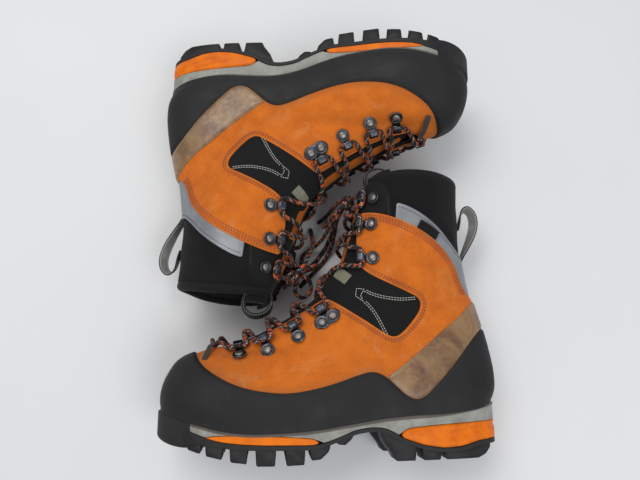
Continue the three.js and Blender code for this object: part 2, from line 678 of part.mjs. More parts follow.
const paint = {
  orange_leather: [0xd9701e, 0.85],
  orange_insert: [0xf08a1c, 0.5],
  black_rubber: [0x2b2c2e, 0.8],
  black_fabric: [0x232325, 0.9],
  grey_midsole: [0x9fa2a0, 0.6],
  grey_fabric: [0x9aa3ab, 0.7],
  tan_leather: [0x8d7458, 0.7],
  gunmetal: [0x5f646b, 0.35],
  lace_cord: [0x3a2620, 0.85],
  webbing: [0x2c2c2e, 0.85],
  board: [0xcfc9b8, 0.8],
  footbed: [0x5c5f63, 0.9],
};

function add(group, name, made, look, matrix) {
  const [color, roughness] = paint[look];
  const metalness = look === "gunmetal" ? 0.9 : 0;
  const mesh = new THREE.Mesh(
    geometryOf(made),
    new THREE.MeshStandardMaterial({ color, roughness, metalness }),
  );
  mesh.name = name;
  if (matrix) mesh.applyMatrix4(matrix);
  group.add(mesh);
}

function boot(side) {
  const group = new THREE.Group();
  const named = (name) => side + "_" + name;
  const put = (name, made, look, matrix) => add(group, named(name), made, look, matrix);
  const trimIn = gap + leatherThick + gap;

  put("outsole", outsole(), "black_rubber");
  put("midsole", midsole(), "grey_midsole");
  put("heel_wedge", wholeSole.intersect(across(heelWedgeRegion)), "orange_insert");
  put("forefoot_wedge", wholeSole.intersect(across(frontWedgeRegion)), "orange_insert");
  put("lasting_board", insidePlate(1, 3, 11), "board");
  put("footbed", insidePlate(4, 7.6, 11.5), "footbed");

  const layer = (inner, outer, first, last) => onSole(shell(inner, outer, first, last));
  const lining = layer(-liningThick, 0).subtract(across(openingOutline));
  put("inner_boot", lining, "black_fabric");
  const leather = layer(gap, gap + leatherThick, 0, 11).intersect(across(leatherOutline));
  put("leather_upper", leather, "orange_leather");
  const rand = layer(trimIn, trimIn + trimThick, 0, 5).intersect(across(randOutline));
  put("rand", rand, "black_rubber");
  const band = layer(trimIn, trimIn + bandThick, 1, 6).intersect(across(bandOutline));
  put("heel_band", band, "tan_leather");
  const reflective = layer(gap, gap + bandThick, 5, 11).intersect(across(greyOutline));
  put("reflective_band", reflective, "grey_fabric");
  put("tongue", tongue(), "black_fabric");
  put("heel_pull_loop", loopSolid(heelLoopLine), "webbing");
  put("tongue_pull_loop", loopSolid(tongueLoopLine), "webbing");

  for (const spec of hooks)
    for (const outer of [true, false]) {
      const name = spec.name + (outer ? "_outer" : "_inner");
      put(name, hook(spec.twin), "gunmetal", hookFrame(spec, outer).matrix);
    }
  put("lace", tube(lacePath(), laceRadius, 6), "lace_cord");
  return group;
}

// ---- The pair, laid on a table -----------------------------------------------------------------

const boots = new THREE.Group();
const madeBoots = {};
for (const [side, { corner, lean, yaw }] of Object.entries(places)) {
  const turn = side === "left" ? 1 : -1;
  const made = boot(side);
  if (side === "right") made.scale.set(1, -1, 1);
  const laid = new THREE.Group().add(made);
  laid.applyMatrix4(new THREE.Matrix4().makeBasis(vec(-turn, 0, 0), vec(0, 0, 1), vec(0, turn, 0)));
  const leaning = new THREE.Group().add(laid);
  leaning.rotation.set(...lean, yaw, "ZXY");
  leaning.position.set(...corner, 0);
  leaning.updateMatrixWorld(true);
  leaning.position.z = -new THREE.Box3().setFromObject(leaning, true).min.z;
  boots.add(leaning);
  madeBoots[side] = made;
}

boots.updateMatrixWorld(true);
const middle = new THREE.Box3().setFromObject(boots, true).getCenter(vec(0, 0, 0));
boots.position.set(-middle.x, -middle.y, 0);
boots.updateMatrixWorld(true);

const pair = new THREE.Group().add(boots);
for (const side of ["left", "right"])
  add(pair, side + "_lace_bow", bow(side, madeBoots[side].matrixWorld), "lace_cord");

export default pair;
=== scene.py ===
import json
import math

import bpy
import numpy as np
from mathutils import Matrix, Vector, noise


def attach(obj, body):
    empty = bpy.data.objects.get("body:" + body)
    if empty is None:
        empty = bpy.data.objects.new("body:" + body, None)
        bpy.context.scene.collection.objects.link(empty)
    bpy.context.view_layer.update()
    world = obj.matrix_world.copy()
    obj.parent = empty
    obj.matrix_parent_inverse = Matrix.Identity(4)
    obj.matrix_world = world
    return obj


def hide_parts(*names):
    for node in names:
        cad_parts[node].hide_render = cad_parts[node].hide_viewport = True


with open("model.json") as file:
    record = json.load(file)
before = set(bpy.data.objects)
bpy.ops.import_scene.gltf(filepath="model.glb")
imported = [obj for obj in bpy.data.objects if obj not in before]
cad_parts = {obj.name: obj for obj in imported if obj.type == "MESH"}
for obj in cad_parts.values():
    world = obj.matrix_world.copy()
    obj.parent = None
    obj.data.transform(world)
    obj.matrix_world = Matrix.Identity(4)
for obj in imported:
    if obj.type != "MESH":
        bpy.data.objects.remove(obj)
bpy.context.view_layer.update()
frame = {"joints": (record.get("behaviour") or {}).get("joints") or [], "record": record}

MM = 0.001
SIDES = ("left", "right")
GAP = 0.35          # between solids that touch, as in the CAD model
LEATHER = 1.8       # thickness of the leather
TRIM = GAP + LEATHER + GAP   # where the rand and the heel band start, out from the last
LINING = 3.5
LACE = 2.1          # radius of the laces
RIM_CROWN = 4       # how far the collar's rim rises between its back and its front


# ---- Camera and light ----------------------------------------------------------------------------

def make_camera():
    data = bpy.data.cameras.new("camera")
    data.lens = 31.16
    data.sensor_width = 36
    cam = bpy.data.objects.new("camera", data)
    cam.location = (-0.00175, -0.12849, 0.5928)
    cam.rotation_euler = (math.radians(13.37), 0, 0)
    bpy.context.scene.collection.objects.link(cam)
    bpy.context.scene.camera = cam


def area_light(name, at, toward, size, power, colour):
    data = bpy.data.lights.new(name, "AREA")
    data.shape = "RECTANGLE"
    data.size, data.size_y = size
    data.energy = power
    data.color = colour
    lamp = bpy.data.objects.new(name, data)
    lamp.location = at
    lamp.rotation_mode = "QUATERNION"
    lamp.rotation_quaternion = (Vector(toward) - Vector(at)).to_track_quat("-Z", "Y")
    bpy.context.scene.collection.objects.link(lamp)


def make_light():
    area_light("ceiling_panel", (-0.5, 0.7, 1.7), (0, 0, 0), (1.3, 0.9), 17, (1, 0.985, 0.96))
    area_light("ceiling_panel_front", (0.7, -0.9, 1.6), (0, 0, 0), (1.2, 0.8), 12, (0.97, 0.985, 1))
    world = bpy.data.worlds.new("room")
    world.use_nodes = True
    background = world.node_tree.nodes["Background"]
    background.inputs["Color"].default_value = (0.93, 0.96, 1, 1)
    background.inputs["Strength"].default_value = 0.55
    bpy.context.scene.world = world
    bpy.context.scene.view_settings.view_transform = "Standard"


# ---- Where each boot lies ------------------------------------------------------------------------

def boot_matrix(side):
    """From a boot's own frame in millimetres to the pair's frame in metres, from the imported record:
    the sole's flat lug gives a point and the way up, and the tongue's hinge runs along Y."""
    mount = next(m for m in frame["record"]["mounts"] if m["name"] == side + "_sole")
    hinge = next(j for j in frame["joints"] if j["name"] == side + "_tongue_push")
    turn = 1 if side == "left" else -1
    z = -Vector(mount["axis"]).normalized()
    y = Vector(hinge["axis"]).normalized() * -turn
    x = y.cross(z) * turn
    lug = Vector((30, 32, 0))
    origin = Vector(mount["pos_m"]) - (x * lug.x + y * lug.y) * MM
    rotation = Matrix((x, y, z)).transposed() * MM
    return Matrix.Translation(origin) @ rotation.to_4x4()


PLACES = {side: boot_matrix(side) for side in SIDES}


# ---- Curves in the side view ---------------------------------------------------------------------

def clamp01(t):
    return np.clip(t, 0, 1)


def ease(t):
    t = clamp01(t)
    return t * t * (3 - 2 * t)


def hermite(a, b, slope_a, slope_b, f):
    return ((2 * a - 2 * b + slope_a + slope_b) * f ** 3
            + (3 * b - 3 * a - 2 * slope_a - slope_b) * f ** 2 + slope_a * f + a)


def along(values, t):
    """A smooth curve through evenly spaced rows of values, for t from 0 to 1."""
    last = len(values) - 1
    i = np.clip(np.floor(t * last).astype(int), 0, last - 1)
    a, b, c, d = (values[np.clip(i + k, 0, last)] for k in (-1, 0, 1, 2))
    f = (t * last - i).reshape(t.shape + (1,) * (values.ndim - 1))
    return hermite(b, c, (c - a) / 2, (d - b) / 2, f)


def across_row(rows, t):
    """The same, where each t has its own row of values."""
    last = rows.shape[1] - 1
    i = np.clip(np.floor(t * last).astype(int), 0, last - 1)
    each = np.arange(len(t))
    a, b, c, d = (rows[each, np.clip(i + k, 0, last)] for k in (-1, 0, 1, 2))
    return hermite(b, c, (c - a) / 2, (d - b) / 2, t * last - i)


def profile(points):
    """A smooth function of x through [x, z] points."""
    p = np.array(points, float)
    before, after = np.vstack([p[:1], p[:-1]]), np.vstack([p[1:], p[-1:]])
    slope = (after[:, 1] - before[:, 1]) / (after[:, 0] - before[:, 0])

    def at(x):
        i = np.clip(np.searchsorted(p[:, 0], x, side="left") - 1, 0, len(p) - 2)
        run = p[i + 1, 0] - p[i, 0]
        share = clamp01((x - p[i, 0]) / run)
        return hermite(p[i, 1], p[i + 1, 1], slope[i] * run, slope[i + 1] * run, share)

    return at


def smooth(points, per_span=6):
    """Points along a smooth line through the given ones."""
    p = np.array(points, float)
    t = np.linspace(0, 1, (len(p) - 1) * per_span + 1)
    padded = np.vstack([2 * p[0] - p[1], p, 2 * p[-1] - p[-2]])
    i = np.clip(np.floor(t * (len(p) - 1)).astype(int), 0, len(p) - 2)
    f = (t * (len(p) - 1) - i)[:, None]
    a, b, c, d = (padded[i + k] for k in range(4))
    return hermite(b, c, (c - a) / 2, (d - b) / 2, f)


def even(points, step):
    """The same line with points a step apart."""
    p = np.array(points, float)
    run = np.concatenate([[0], np.cumsum(np.linalg.norm(np.diff(p, axis=0), axis=1))])
    count = max(2, int(round(run[-1] / step)) + 1)
    at = np.linspace(0, run[-1], count)
    return np.stack([np.interp(at, run, p[:, k]) for k in range(p.shape[1])], axis=1)


def shifted(line, by):
    """A side-view line moved to its left by some millimetres."""
    way = np.gradient(line, axis=0)
    way /= np.linalg.norm(way, axis=1)[:, None]
    return line + by * np.stack([-way[:, 1], way[:, 0]], axis=1)


def signed_distance(outline, x, z):
    """Distance from side-view points to a closed outline, less than 0 inside it."""
    a = np.array(outline, float)
    b = np.roll(a, -1, axis=0)
    nearest = np.full(x.shape, 1e9)
    crossings = np.zeros(x.shape, int)
    for (ax, az), (bx, bz) in zip(a, b):
        length = max(1e-9, (bx - ax) ** 2 + (bz - az) ** 2)
        t = clamp01(((x - ax) * (bx - ax) + (z - az) * (bz - az)) / length)
        nearest = np.minimum(nearest, np.hypot(x - ax - t * (bx - ax), z - az - t * (bz - az)))
        if az != bz:
            crossings += ((az > z) != (bz > z)) & (x < ax + (z - az) / (bz - az) * (bx - ax))
    return np.where(crossings % 2 == 1, -nearest, nearest)


# ---- The last: the boot's outer form, as in the CAD model ----------------------------------------

sole_line = profile([
    [-2, 46.5], [12, 44], [23, 42], [49, 39.5], [83, 40], [108, 39.5], [134, 36], [160, 31],
    [185, 28], [219, 27], [244, 29.5], [270, 35.5], [285, 39], [308, 44.5],
])


def sole_top(x, y):
    return sole_line(x) - 3.5 * np.exp(-(((x - 118) / 45) ** 2)) * y / 40


def bend(x):
    """The foot's middle line bends inwards to the big toe."""
    return -9 * ease((x - 175) / 130) + 2.5 * np.exp(-(((x - 125) / 60) ** 2))


# Rings from the sole to the rim: back x, z, front x, z, six half widths from back to front, and how
# blunt the back and the front ends are.
RINGS = np.array([
    [0, 44, 297, 43, 46, 40, 38, 46.5, 53, 53, 3, 3],
    [-5, 57, 298, 57, 48, 41.5, 41, 49, 55, 53, 3, 3],
    [-6, 72, 294.5, 71, 48, 41.5, 41, 47.5, 51, 49, 2.8, 2.8],
    [-4.5, 87, 286, 84.5, 47, 41, 39.5, 43, 43, 41, 2.7, 2.4],
    [-2, 102, 269, 92.5, 45, 40, 38, 38.5, 34, 30, 2.6, 2.1],
    [1.5, 118, 239, 102, 43, 38.5, 37.5, 38.5, 37, 33, 2.5, 2],
    [6, 136, 208, 118.5, 42, 40, 40, 38, 36, 33, 2.3, 2],
    [9.5, 152, 179, 135.5, 42, 42, 42, 40, 37, 34, 2.2, 2],
    [12, 168, 154.5, 156, 42, 43, 43, 41, 39, 37, 2.1, 2],
    [14.5, 184, 141, 176.5, 43, 43.5, 43.5, 42, 41, 40, 2.1, 2],
    [15.5, 200, 134, 198, 44, 44, 44, 43, 42, 41, 2.1, 2.1],
    [15, 217, 127.5, 217, 45, 45, 45, 44, 43, 42, 2.1, 2.1],
    [15.5, 233.5, 121.5, 236, 46, 46, 46, 45.5, 45, 44, 2.1, 2.1],
    [15, 245, 115, 250, 46.5, 46.5, 47, 46.5, 46, 45, 2.1, 2.1],
    [14.5, 254, 110, 260, 46, 46, 46.5, 46, 45.5, 44.5, 2.1, 2.1],
])


def ring_height(ring, v, s, x, y):
    level = ring[:, 1] + (ring[:, 3] - ring[:, 1]) * s
    start = RINGS[0, 1] + (RINGS[0, 3] - RINGS[0, 1]) * s
    settle = (sole_top(x, y) + GAP - start) * (1 - ease(v / 0.24))
    return level + settle + RIM_CROWN * ease((v - 0.7) / 0.3) * 4 * s * (1 - s)


def last_point(angle, v):
    """Points of the last: angle 0 is the back, a half turn is the front, and the outer side comes first."""
    angle, v = (np.ravel(a).astype(float) for a in np.broadcast_arrays(angle, v))
    ring = along(RINGS, v)
    c = np.cos(angle)
    s = (1 - c) / 2
    power = np.where(c > 0, ring[:, 10], ring[:, 11])
    reach = np.maximum(0, 1 - np.abs(c) ** power) ** (1 / power) * across_row(ring[:, 4:10], s)
    x = ring[:, 0] + (ring[:, 2] - ring[:, 0]) * s
    y = bend(x) + np.sign(np.sin(angle)) * reach
    return np.stack([x, y, ring_height(ring, v, s, x, y)], axis=1)


def last_normal(angle, v):
    step = 0.004
    up = last_point(angle, np.minimum(1, v + step)) - last_point(angle, np.maximum(0, v - step))
    turn = last_point(angle + 0.02, v) - last_point(angle - 0.02, v)
    normal = np.cross(up, turn)
    return normal / np.linalg.norm(normal, axis=1)[:, None]


def skin(angle, v, out):
    return last_point(angle, v) + last_normal(angle, v) * np.reshape(out, (-1, 1))


def locate(x, z):
    """The angle and height of the outer side's points that show at x, z in the side view."""
    x, z = (np.ravel(a).astype(float) for a in np.broadcast_arrays(x, z))
    low, high = np.zeros(len(x)), np.ones(len(x))
    for _ in range(40):
        v = (low + high) / 2
        ring = along(RINGS, v)
        s = clamp01((x - ring[:, 0]) / (ring[:, 2] - ring[:, 0]))
        y = bend(x) + across_row(ring[:, 4:10], s) * np.sqrt(4 * s * (1 - s))
        below = ring_height(ring, v, s, x, y) < z
        low, high = np.where(below, v, low), np.where(below, high, v)
    return np.arccos(1 - 2 * s), (low + high) / 2


def on_side(line, outer, out):
    """3-D points and normals of a side-view line on one side of the boot, some way out from the last."""
    angle, v = locate(line[:, 0], line[:, 1])
    angle = angle if outer else 2 * math.pi - angle
    return skin(angle, v, np.full(len(v), float(out))), last_normal(angle, v)


# ---- Side-view outlines of the layers ------------------------------------------------------------

RAND_EDGE = [
    [276, 99], [270, 90], [260, 79.5], [243, 69.5], [224, 62.5], [203, 59], [185, 58.5], [165, 61.5],
    [145, 66.5], [128, 72], [114, 75], [103, 71.5], [92, 62], [83, 54.5], [74.5, 51.5], [66, 54],
    [55, 63.5], [37, 81], [23, 96.5], [10, 109], [-6, 118],
]
BAND_EDGE = [[100, 70.5], [74, 89], [46, 111], [30, 123], [16, 135], [0, 145]]
LEATHER_TOP = [
    [117.5, 223.5], [106, 221.5], [92, 217], [75, 209.5], [60, 201], [46, 191], [36, 181], [28, 169],
    [22, 155], [14, 145], [0, 141],
]
GREY_TOP = [[86, 230], [75, 226], [60, 217.5], [45, 206.5], [33, 195], [22, 186], [8, 181]]
EYESTAY = [[263, 99], [250, 98.2], [236, 99.5], [212, 107.5], [187, 120.5], [166, 133.5], [153, 142]]
WINDOW_EDGE = [
    [153, 142], [143, 136], [133, 129.5], [112, 116], [99, 108], [92.5, 105.8], [86, 108], [78, 115.5],
    [69, 127], [66.5, 135.5], [70, 141.5], [80, 146.5], [97, 154.5], [112, 163], [121.5, 171.5],
]
LEATHER_FRONT = [[121.5, 171.5], [122.5, 190], [121, 208], [117.5, 223.5]]
LINING_FRONT = [
    [247, 95], [238, 100.5], [208, 113.5], [179, 130.5], [153.5, 151], [137, 174], [129, 197],
    [123, 217], [117, 236], [111, 250], [104, 268],
]
BEHIND, AHEAD = -30, 340   # past the boot's heel and toe


def joined(*parts):
    return np.vstack([np.array(p, float).reshape(-1, 2) for p in parts])


leather_outline = joined(
    [[BEHIND, 0], [AHEAD, 0], [AHEAD, 130], [264, 130]],
    smooth(EYESTAY), smooth(WINDOW_EDGE), smooth(LEATHER_FRONT), smooth(LEATHER_TOP), [[BEHIND, 139]])
opening_outline = joined(smooth(LINING_FRONT), [[104, 330], [AHEAD, 330], [AHEAD, 120], [250, 120]])
rand_outline = joined(
    [[BEHIND, 0], [AHEAD, 0], [AHEAD, 130], [278, 130]], smooth(RAND_EDGE), [[BEHIND, 124]])
band_low = smooth(RAND_EDGE)
band_outline = joined(
    smooth(BAND_EDGE), [[BEHIND, 148], [BEHIND, 124.4]], band_low[band_low[:, 0] < 99][::-1] + [0, 0.2])
grey_low = smooth(LEATHER_TOP)
grey_outline = joined(
    smooth(GREY_TOP), [[BEHIND, 178], [BEHIND, 136]],
    grey_low[grey_low[:, 0] < 86][::-1] - [0, 2.5], [[87.5, 213]])


# ---- Meshes --------------------------------------------------------------------------------------

def place(side, points):
    matrix = np.array(PLACES[side])
    return points @ matrix[:3, :3].T + matrix[:3, 3]


PRESS = 1.5   # soft parts this close to the table are pressed flat against it
PRESSED_SLOTS = ("black_fabric", "orange_leather", "grey_fabric", "black_rubber")


def pressed(points):
    """Points in the pair's frame in metres, with what is near or below the table squeezed above it."""
    height = points[:, 2] / MM
    squeezed = PRESS * np.exp(np.minimum(height - PRESS, 0) / PRESS)
    return np.column_stack([points[:, :2], np.where(height < PRESS, squeezed, height) * MM])


def make_piece(side, name, points, faces, look, body, slot, stands_for=(), mats=None, extra=None, at=None):
    """A mesh piece of one boot. points are in the boot's frame, look is a material or a list of them,
    mats gives each face's material, and extra holds more point or face attributes."""
    points = np.asarray(points, float)
    if side == "right":
        faces = [tuple(f)[::-1] for f in faces]
    mesh = bpy.data.meshes.new(f"{side}_{name}")
    placed = place(side, points)
    if slot in PRESSED_SLOTS:
        placed = pressed(placed)
    mesh.from_pydata(placed.tolist(), [], [tuple(int(k) for k in f) for f in faces])
    for one in look if isinstance(look, list) else [look]:
        mesh.materials.append(one)
    if mats is not None:
        mesh.polygons.foreach_set("material_index", np.asarray(mats, np.int32))
    mesh.polygons.foreach_set("use_smooth", np.ones(len(mesh.polygons), bool))
    stored = mesh.attributes.new("at", "FLOAT_VECTOR", "POINT")
    stored.data.foreach_set("vector", np.asarray(points if at is None else at, np.float32).ravel())
    for key, (domain, values) in (extra or {}).items():
        kind = "FLOAT_VECTOR" if np.ndim(values) == 2 else "FLOAT"
        stored = mesh.attributes.new(key, kind, domain)
        field = "vector" if kind == "FLOAT_VECTOR" else "value"
        stored.data.foreach_set(field, np.asarray(values, np.float32).ravel())
    mesh.update()
    piece = bpy.data.objects.new(f"{side}_{name}", mesh)
    bpy.context.scene.collection.objects.link(piece)
    if isinstance(body, str):
        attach(piece, f"{side}_{body}")
    if stands_for:
        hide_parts(*[f"{side}_{n}" for n in stands_for])
    return piece


def merged(parts):
    """One list of points and faces from several."""
    points, faces, start = [], [], 0
    for p, f in parts:
        points.append(np.asarray(p, float))
        faces += [tuple(k + start for k in face) for face in f]
        start += len(p)
    return np.vstack(points), faces


def grid_faces(rows, columns, closed_columns=False, closed_rows=False):
    """Quads over points numbered row by row."""
    i = np.arange(rows if closed_rows else rows - 1)
    j = np.arange(columns if closed_columns else columns - 1)
    i, j = (a.ravel() for a in np.meshgrid(i, j, indexing="ij"))
    i2, j2 = (i + 1) % rows, (j + 1) % columns
    return np.stack([i * columns + j, i * columns + j2, i2 * columns + j2, i2 * columns + j], axis=1)


def column_angles(count):
    """Angles round the boot that are about evenly spaced along the foot's outline."""
    fine = np.linspace(0, 2 * math.pi, 4001)
    run = np.zeros(len(fine) - 1)
    for v in (0.1, 0.25, 0.6):
        run += np.linalg.norm(np.diff(last_point(fine, np.full(len(fine), v)), axis=0), axis=1)
    total = np.concatenate([[0], np.cumsum(run)])
    return np.interp(np.arange(count) / count * total[-1], total, fine)


def snapped_grid(angle, v, value, rows, columns, closed):
    """Moves grid points along grid edges onto the line where value is 0, and gives 0 there."""
    angle, v, value = (a.reshape(rows, columns).copy() for a in (angle, v, value))
    move = np.full((rows, columns), 9.0)
    to_angle, to_v = angle.copy(), v.copy()

    def try_edges(a, b):
        va, vb = value[a], value[b]
        with np.errstate(divide="ignore", invalid="ignore"):
            t = va / (va - vb)
        cross = (va * vb) < 0
        for here, there, share in ((a, b, t), (b, a, 1 - t)):
            use = cross & (share <= 0.5) & (share < move[here])
            turn = angle[there] - angle[here]
            turn = np.where(turn > math.pi, turn - 2 * math.pi, turn)
            turn = np.where(turn < -math.pi, turn + 2 * math.pi, turn)
            to_angle[here] = np.where(use, angle[here] + share * turn, to_angle[here])
            to_v[here] = np.where(use, v[here] + share * (v[there] - v[here]), to_v[here])
            move[here] = np.where(use, share, move[here])

    try_edges((slice(0, -1), slice(None)), (slice(1, None), slice(None)))
    try_edges((slice(None), slice(0, -1)), (slice(None), slice(1, None)))
    if closed:
        try_edges((slice(None), slice(-1, None)), (slice(None), slice(0, 1)))
    value[move < 1] = 0
    return to_angle.ravel(), to_v.ravel(), value.ravel()


def rim_loops(faces):
    """Closed loops of point numbers along the open edges of a list of faces."""
    follow = {}
    for face in faces:
        for a, b in zip(face, face[1:] + face[:1]):
            if follow.pop((b, a), None) is None:
                follow[(a, b)] = True
    after = {a: b for a, b in follow}
    loops = []
    while after:
        start, here = next(iter(after.items()))
        del after[start]
        loop = [start]
        while here != start and here in after:
            loop.append(here)
            here = after.pop(here)
        loops.append(loop)
    return loops


def wall(value_at, low, high, columns=340, rows=130, span=(0, 1), edge=0.5, full=True, arc=(0, 2 * math.pi)):
    """A wall over the last, where value_at(points) is below 0, between two distances out from it.
    low and high are numbers or functions of (points, angle, v); edge is how round its rim is: 0.5 is a
    half circle, less is a square edge with rounded corners."""
    if full:
        ring = column_angles(columns)
    else:
        ring = np.linspace(arc[0], arc[1], columns)
    angle = np.tile(ring, rows)
    v = np.repeat(np.linspace(span[0], span[1], rows), columns)
    value = value_at(skin(angle, v, np.full(len(v), 1.0)))
    angle, v, value = snapped_grid(angle, v, value, rows, columns, full)
    quads = grid_faces(rows, columns, closed_columns=full)[:, ::-1]
    keep = value[quads] <= 0
    whole = quads[keep.all(axis=1) & (value[quads] < 0).any(axis=1)]
    corner = quads[(keep.sum(axis=1) == 3) & (value[quads] < 0).any(axis=1)]
    corner_keep = keep[(keep.sum(axis=1) == 3) & (value[quads] < 0).any(axis=1)]
    faces = [tuple(q) for q in whole.tolist()]
    for quad, kept in zip(corner.tolist(), corner_keep.tolist()):
        faces.append(tuple(k for k, good in zip(quad, kept) if good))
    used = sorted({k for face in faces for k in face})
    number = {k: i for i, k in enumerate(used)}
    faces = [tuple(number[k] for k in face) for face in faces]
    angle, v = angle[used], v[used]
    base, normal = last_point(angle, v), last_normal(angle, v)
    outs = [f(base, angle, v) if callable(f) else np.full(len(v), float(f)) for f in (low, high)]
    inner, outer = (base + normal * o[:, None] for o in outs)
    count = len(used)
    points = [outer, inner]
    where = [np.stack([angle, v], axis=1)] * 2
    all_faces = faces + [tuple(k + count for k in face)[::-1] for face in faces]
    start = 2 * count
    for loop in rim_loops(faces):
        loop = np.array(loop)
        top, bottom, up = outer[loop], inner[loop], normal[loop]
        way = np.roll(top, -1, axis=0) - np.roll(top, 1, axis=0)
        away = np.cross(way, up)
        away /= np.maximum(1e-9, np.linalg.norm(away, axis=1))[:, None]
        height = (outs[1] - outs[0])[loop][:, None]
        radius = height * edge
        rings = []
        for turn in (30, 60, 90):
            a = math.radians(turn)
            rings.append(top + away * radius * math.sin(a) - up * radius * (1 - math.cos(a)))
        for turn in (90, 60, 30):
            a = math.radians(turn)
            rings.append(bottom + away * radius * math.sin(a) + up * radius * (1 - math.cos(a)))
        if edge >= 0.5:
            rings.pop(3)
        size = len(loop)
        ids = [loop] + [start + k * size + np.arange(size) for k in range(len(rings))] + [loop + count]
        for a, b in zip(ids, ids[1:]):
            a2, b2 = np.roll(a, -1), np.roll(b, -1)
            all_faces += list(zip(a2.tolist(), a.tolist(), b.tolist(), b2.tolist()))
        points += rings
        where += [where[0][loop]] * len(rings)
        start += size * len(rings)
    return np.vstack(points), all_faces, np.vstack(where)


# ---- Threads, cords and straps -------------------------------------------------------------------

def unit_rows(vectors):
    return vectors / np.maximum(1e-9, np.linalg.norm(vectors, axis=1))[:, None]


def carried_frames(points):
    """Directions along a line, with two across that don't twist."""
    way = np.gradient(points, axis=0)
    way /= np.maximum(1e-9, np.linalg.norm(way, axis=1))[:, None]
    side = np.cross(way[0], [0.31, 0.52, 0.8])
    sides = []
    for w in way:
        side = side - w * np.dot(w, side)
        side = side / np.linalg.norm(side)
        sides.append(side)
    sides = np.array(sides)
    return way, sides, np.cross(way, sides)


def spline(points, step):
    """A smooth line through 3-D points, with points a step apart."""
    return even(smooth(points, 12), step)


def round_bar(points, radius, sides=10, ends=True, squash=1.0):
    """A round bar along points. Its ends are domed."""
    points = np.asarray(points, float)
    way, side, other = carried_frames(points)
    radii = np.full(len(points), float(radius)) if np.isscalar(radius) else np.asarray(radius, float)
    if ends:
        dome = [(0.999, 0.05), (0.85, 0.53), (0.5, 0.87)]
        head = [points[0] - way[0] * radii[0] * far for far, _ in dome]
        tail = [points[-1] + way[-1] * radii[-1] * far for far, _ in dome[::-1]]
        points = np.vstack([head, points, tail])
        first = [radii[0] * r for _, r in dome]
        final = [radii[-1] * r for _, r in dome[::-1]]
        radii = np.concatenate([first, radii, final])
        side = np.vstack([side[:1]] * 3 + [side] + [side[-1:]] * 3)
        other = np.vstack([other[:1]] * 3 + [other] + [other[-1:]] * 3)
    a = np.arange(sides) / sides * 2 * math.pi
    ring = side[:, None, :] * np.cos(a)[None, :, None]
    ring = ring + squash * other[:, None, :] * np.sin(a)[None, :, None]
    co = points[:, None, :] + ring * radii[:, None, None]
    faces = [tuple(f) for f in grid_faces(len(points), sides, closed_columns=True).tolist()]
    last = (len(points) - 1) * sides
    faces += [tuple(range(sides))[::-1], tuple(last + k for k in range(sides))]
    return co.reshape(-1, 3), faces


def braid(points, radius, cells=8, pitch=1.55):
    """A braided cord: its faces are the crossings of the strands, each a raised diamond. The second
    result gives every face the number of its strand."""
    line = even(points, pitch / 2)
    _, side, other = carried_frames(line)
    count = len(line)
    angle = (np.arange(cells)[None, :] * 2 + (np.arange(count) % 2)[:, None]) * math.pi / cells
    spoke = side[:, None] * np.cos(angle)[..., None] + other[:, None] * np.sin(angle)[..., None]
    co = line[:, None] + spoke * (radius * 0.9)
    corners = co.reshape(-1, 3)
    crowns, faces, strand = [], [], []
    start = len(corners)
    for i in range(count - 2):
        for j in range(cells):
            left, right = (j, j + 1) if i % 2 else (j - 1, j)
            a = i * cells + j
            b, d = (i + 1) * cells + right % cells, (i + 1) * cells + left % cells
            c = (i + 2) * cells + j
            centre_angle = (2 * j + i % 2) * math.pi / cells
            out = side[i + 1] * math.cos(centre_angle) + other[i + 1] * math.sin(centre_angle)
            crowns.append(line[i + 1] + out * radius * 1.05)
            top = start + len(crowns) - 1
            faces += [(a, b, top), (b, c, top), (c, d, top), (d, a, top)]
            row, col = i, 2 * j + i % 2
            over = (row // 2 + j) % 2
            number = ((row + col) // 2) % cells if over else cells + ((row - col) // 2) % cells
            strand += [number] * 4
    for row, flip in ((0, False), (count - 1, True)):
        middle = start + len(crowns)
        crowns.append(line[row])
        ring = [row * cells + j for j in range(cells)]
        for a, b in zip(ring, ring[1:] + ring[:1]):
            faces.append((a, b, middle) if flip else (b, a, middle))
            strand.append(0)
    # The diamonds leave a zigzag at each end, closed by triangles.
    for row, inward in ((0, 1), (count - 1, -1)):
        near = row + inward
        for j in range(cells):
            a, b = row * cells + j, row * cells + (j + 1) % cells
            between = j if row % 2 == 1 or near % 2 == 1 and row % 2 == 0 else j
            c = near * cells + ((j + 1) % cells if row % 2 == 1 else between)
            faces.append((a, c, b) if inward < 0 else (a, b, c))
            strand.append(0)
    return np.vstack([corners, crowns]), faces, np.array(strand, float)


def stitch_row(line, normals, pitch=2.7, length=1.9, radius=0.33, sides=6):
    """Short raised stitches along a line on a surface."""
    run = np.concatenate([[0], np.cumsum(np.linalg.norm(np.diff(line, axis=0), axis=1))])
    parts = []
    for k in range(int(run[-1] / pitch)):
        at = np.array([k * pitch + length * f for f in (0, 0.22, 0.5, 0.78, 1)])
        p = np.stack([np.interp(at, run, line[:, c]) for c in range(3)], axis=1)
        n = np.stack([np.interp(at, run, normals[:, c]) for c in range(3)], axis=1)
        lift = np.array([-0.75, 0.25, 0.6, 0.25, -0.75]) * radius
        parts.append(round_bar(p + n * lift[:, None], radius, sides, ends=False))
    return merged(parts)


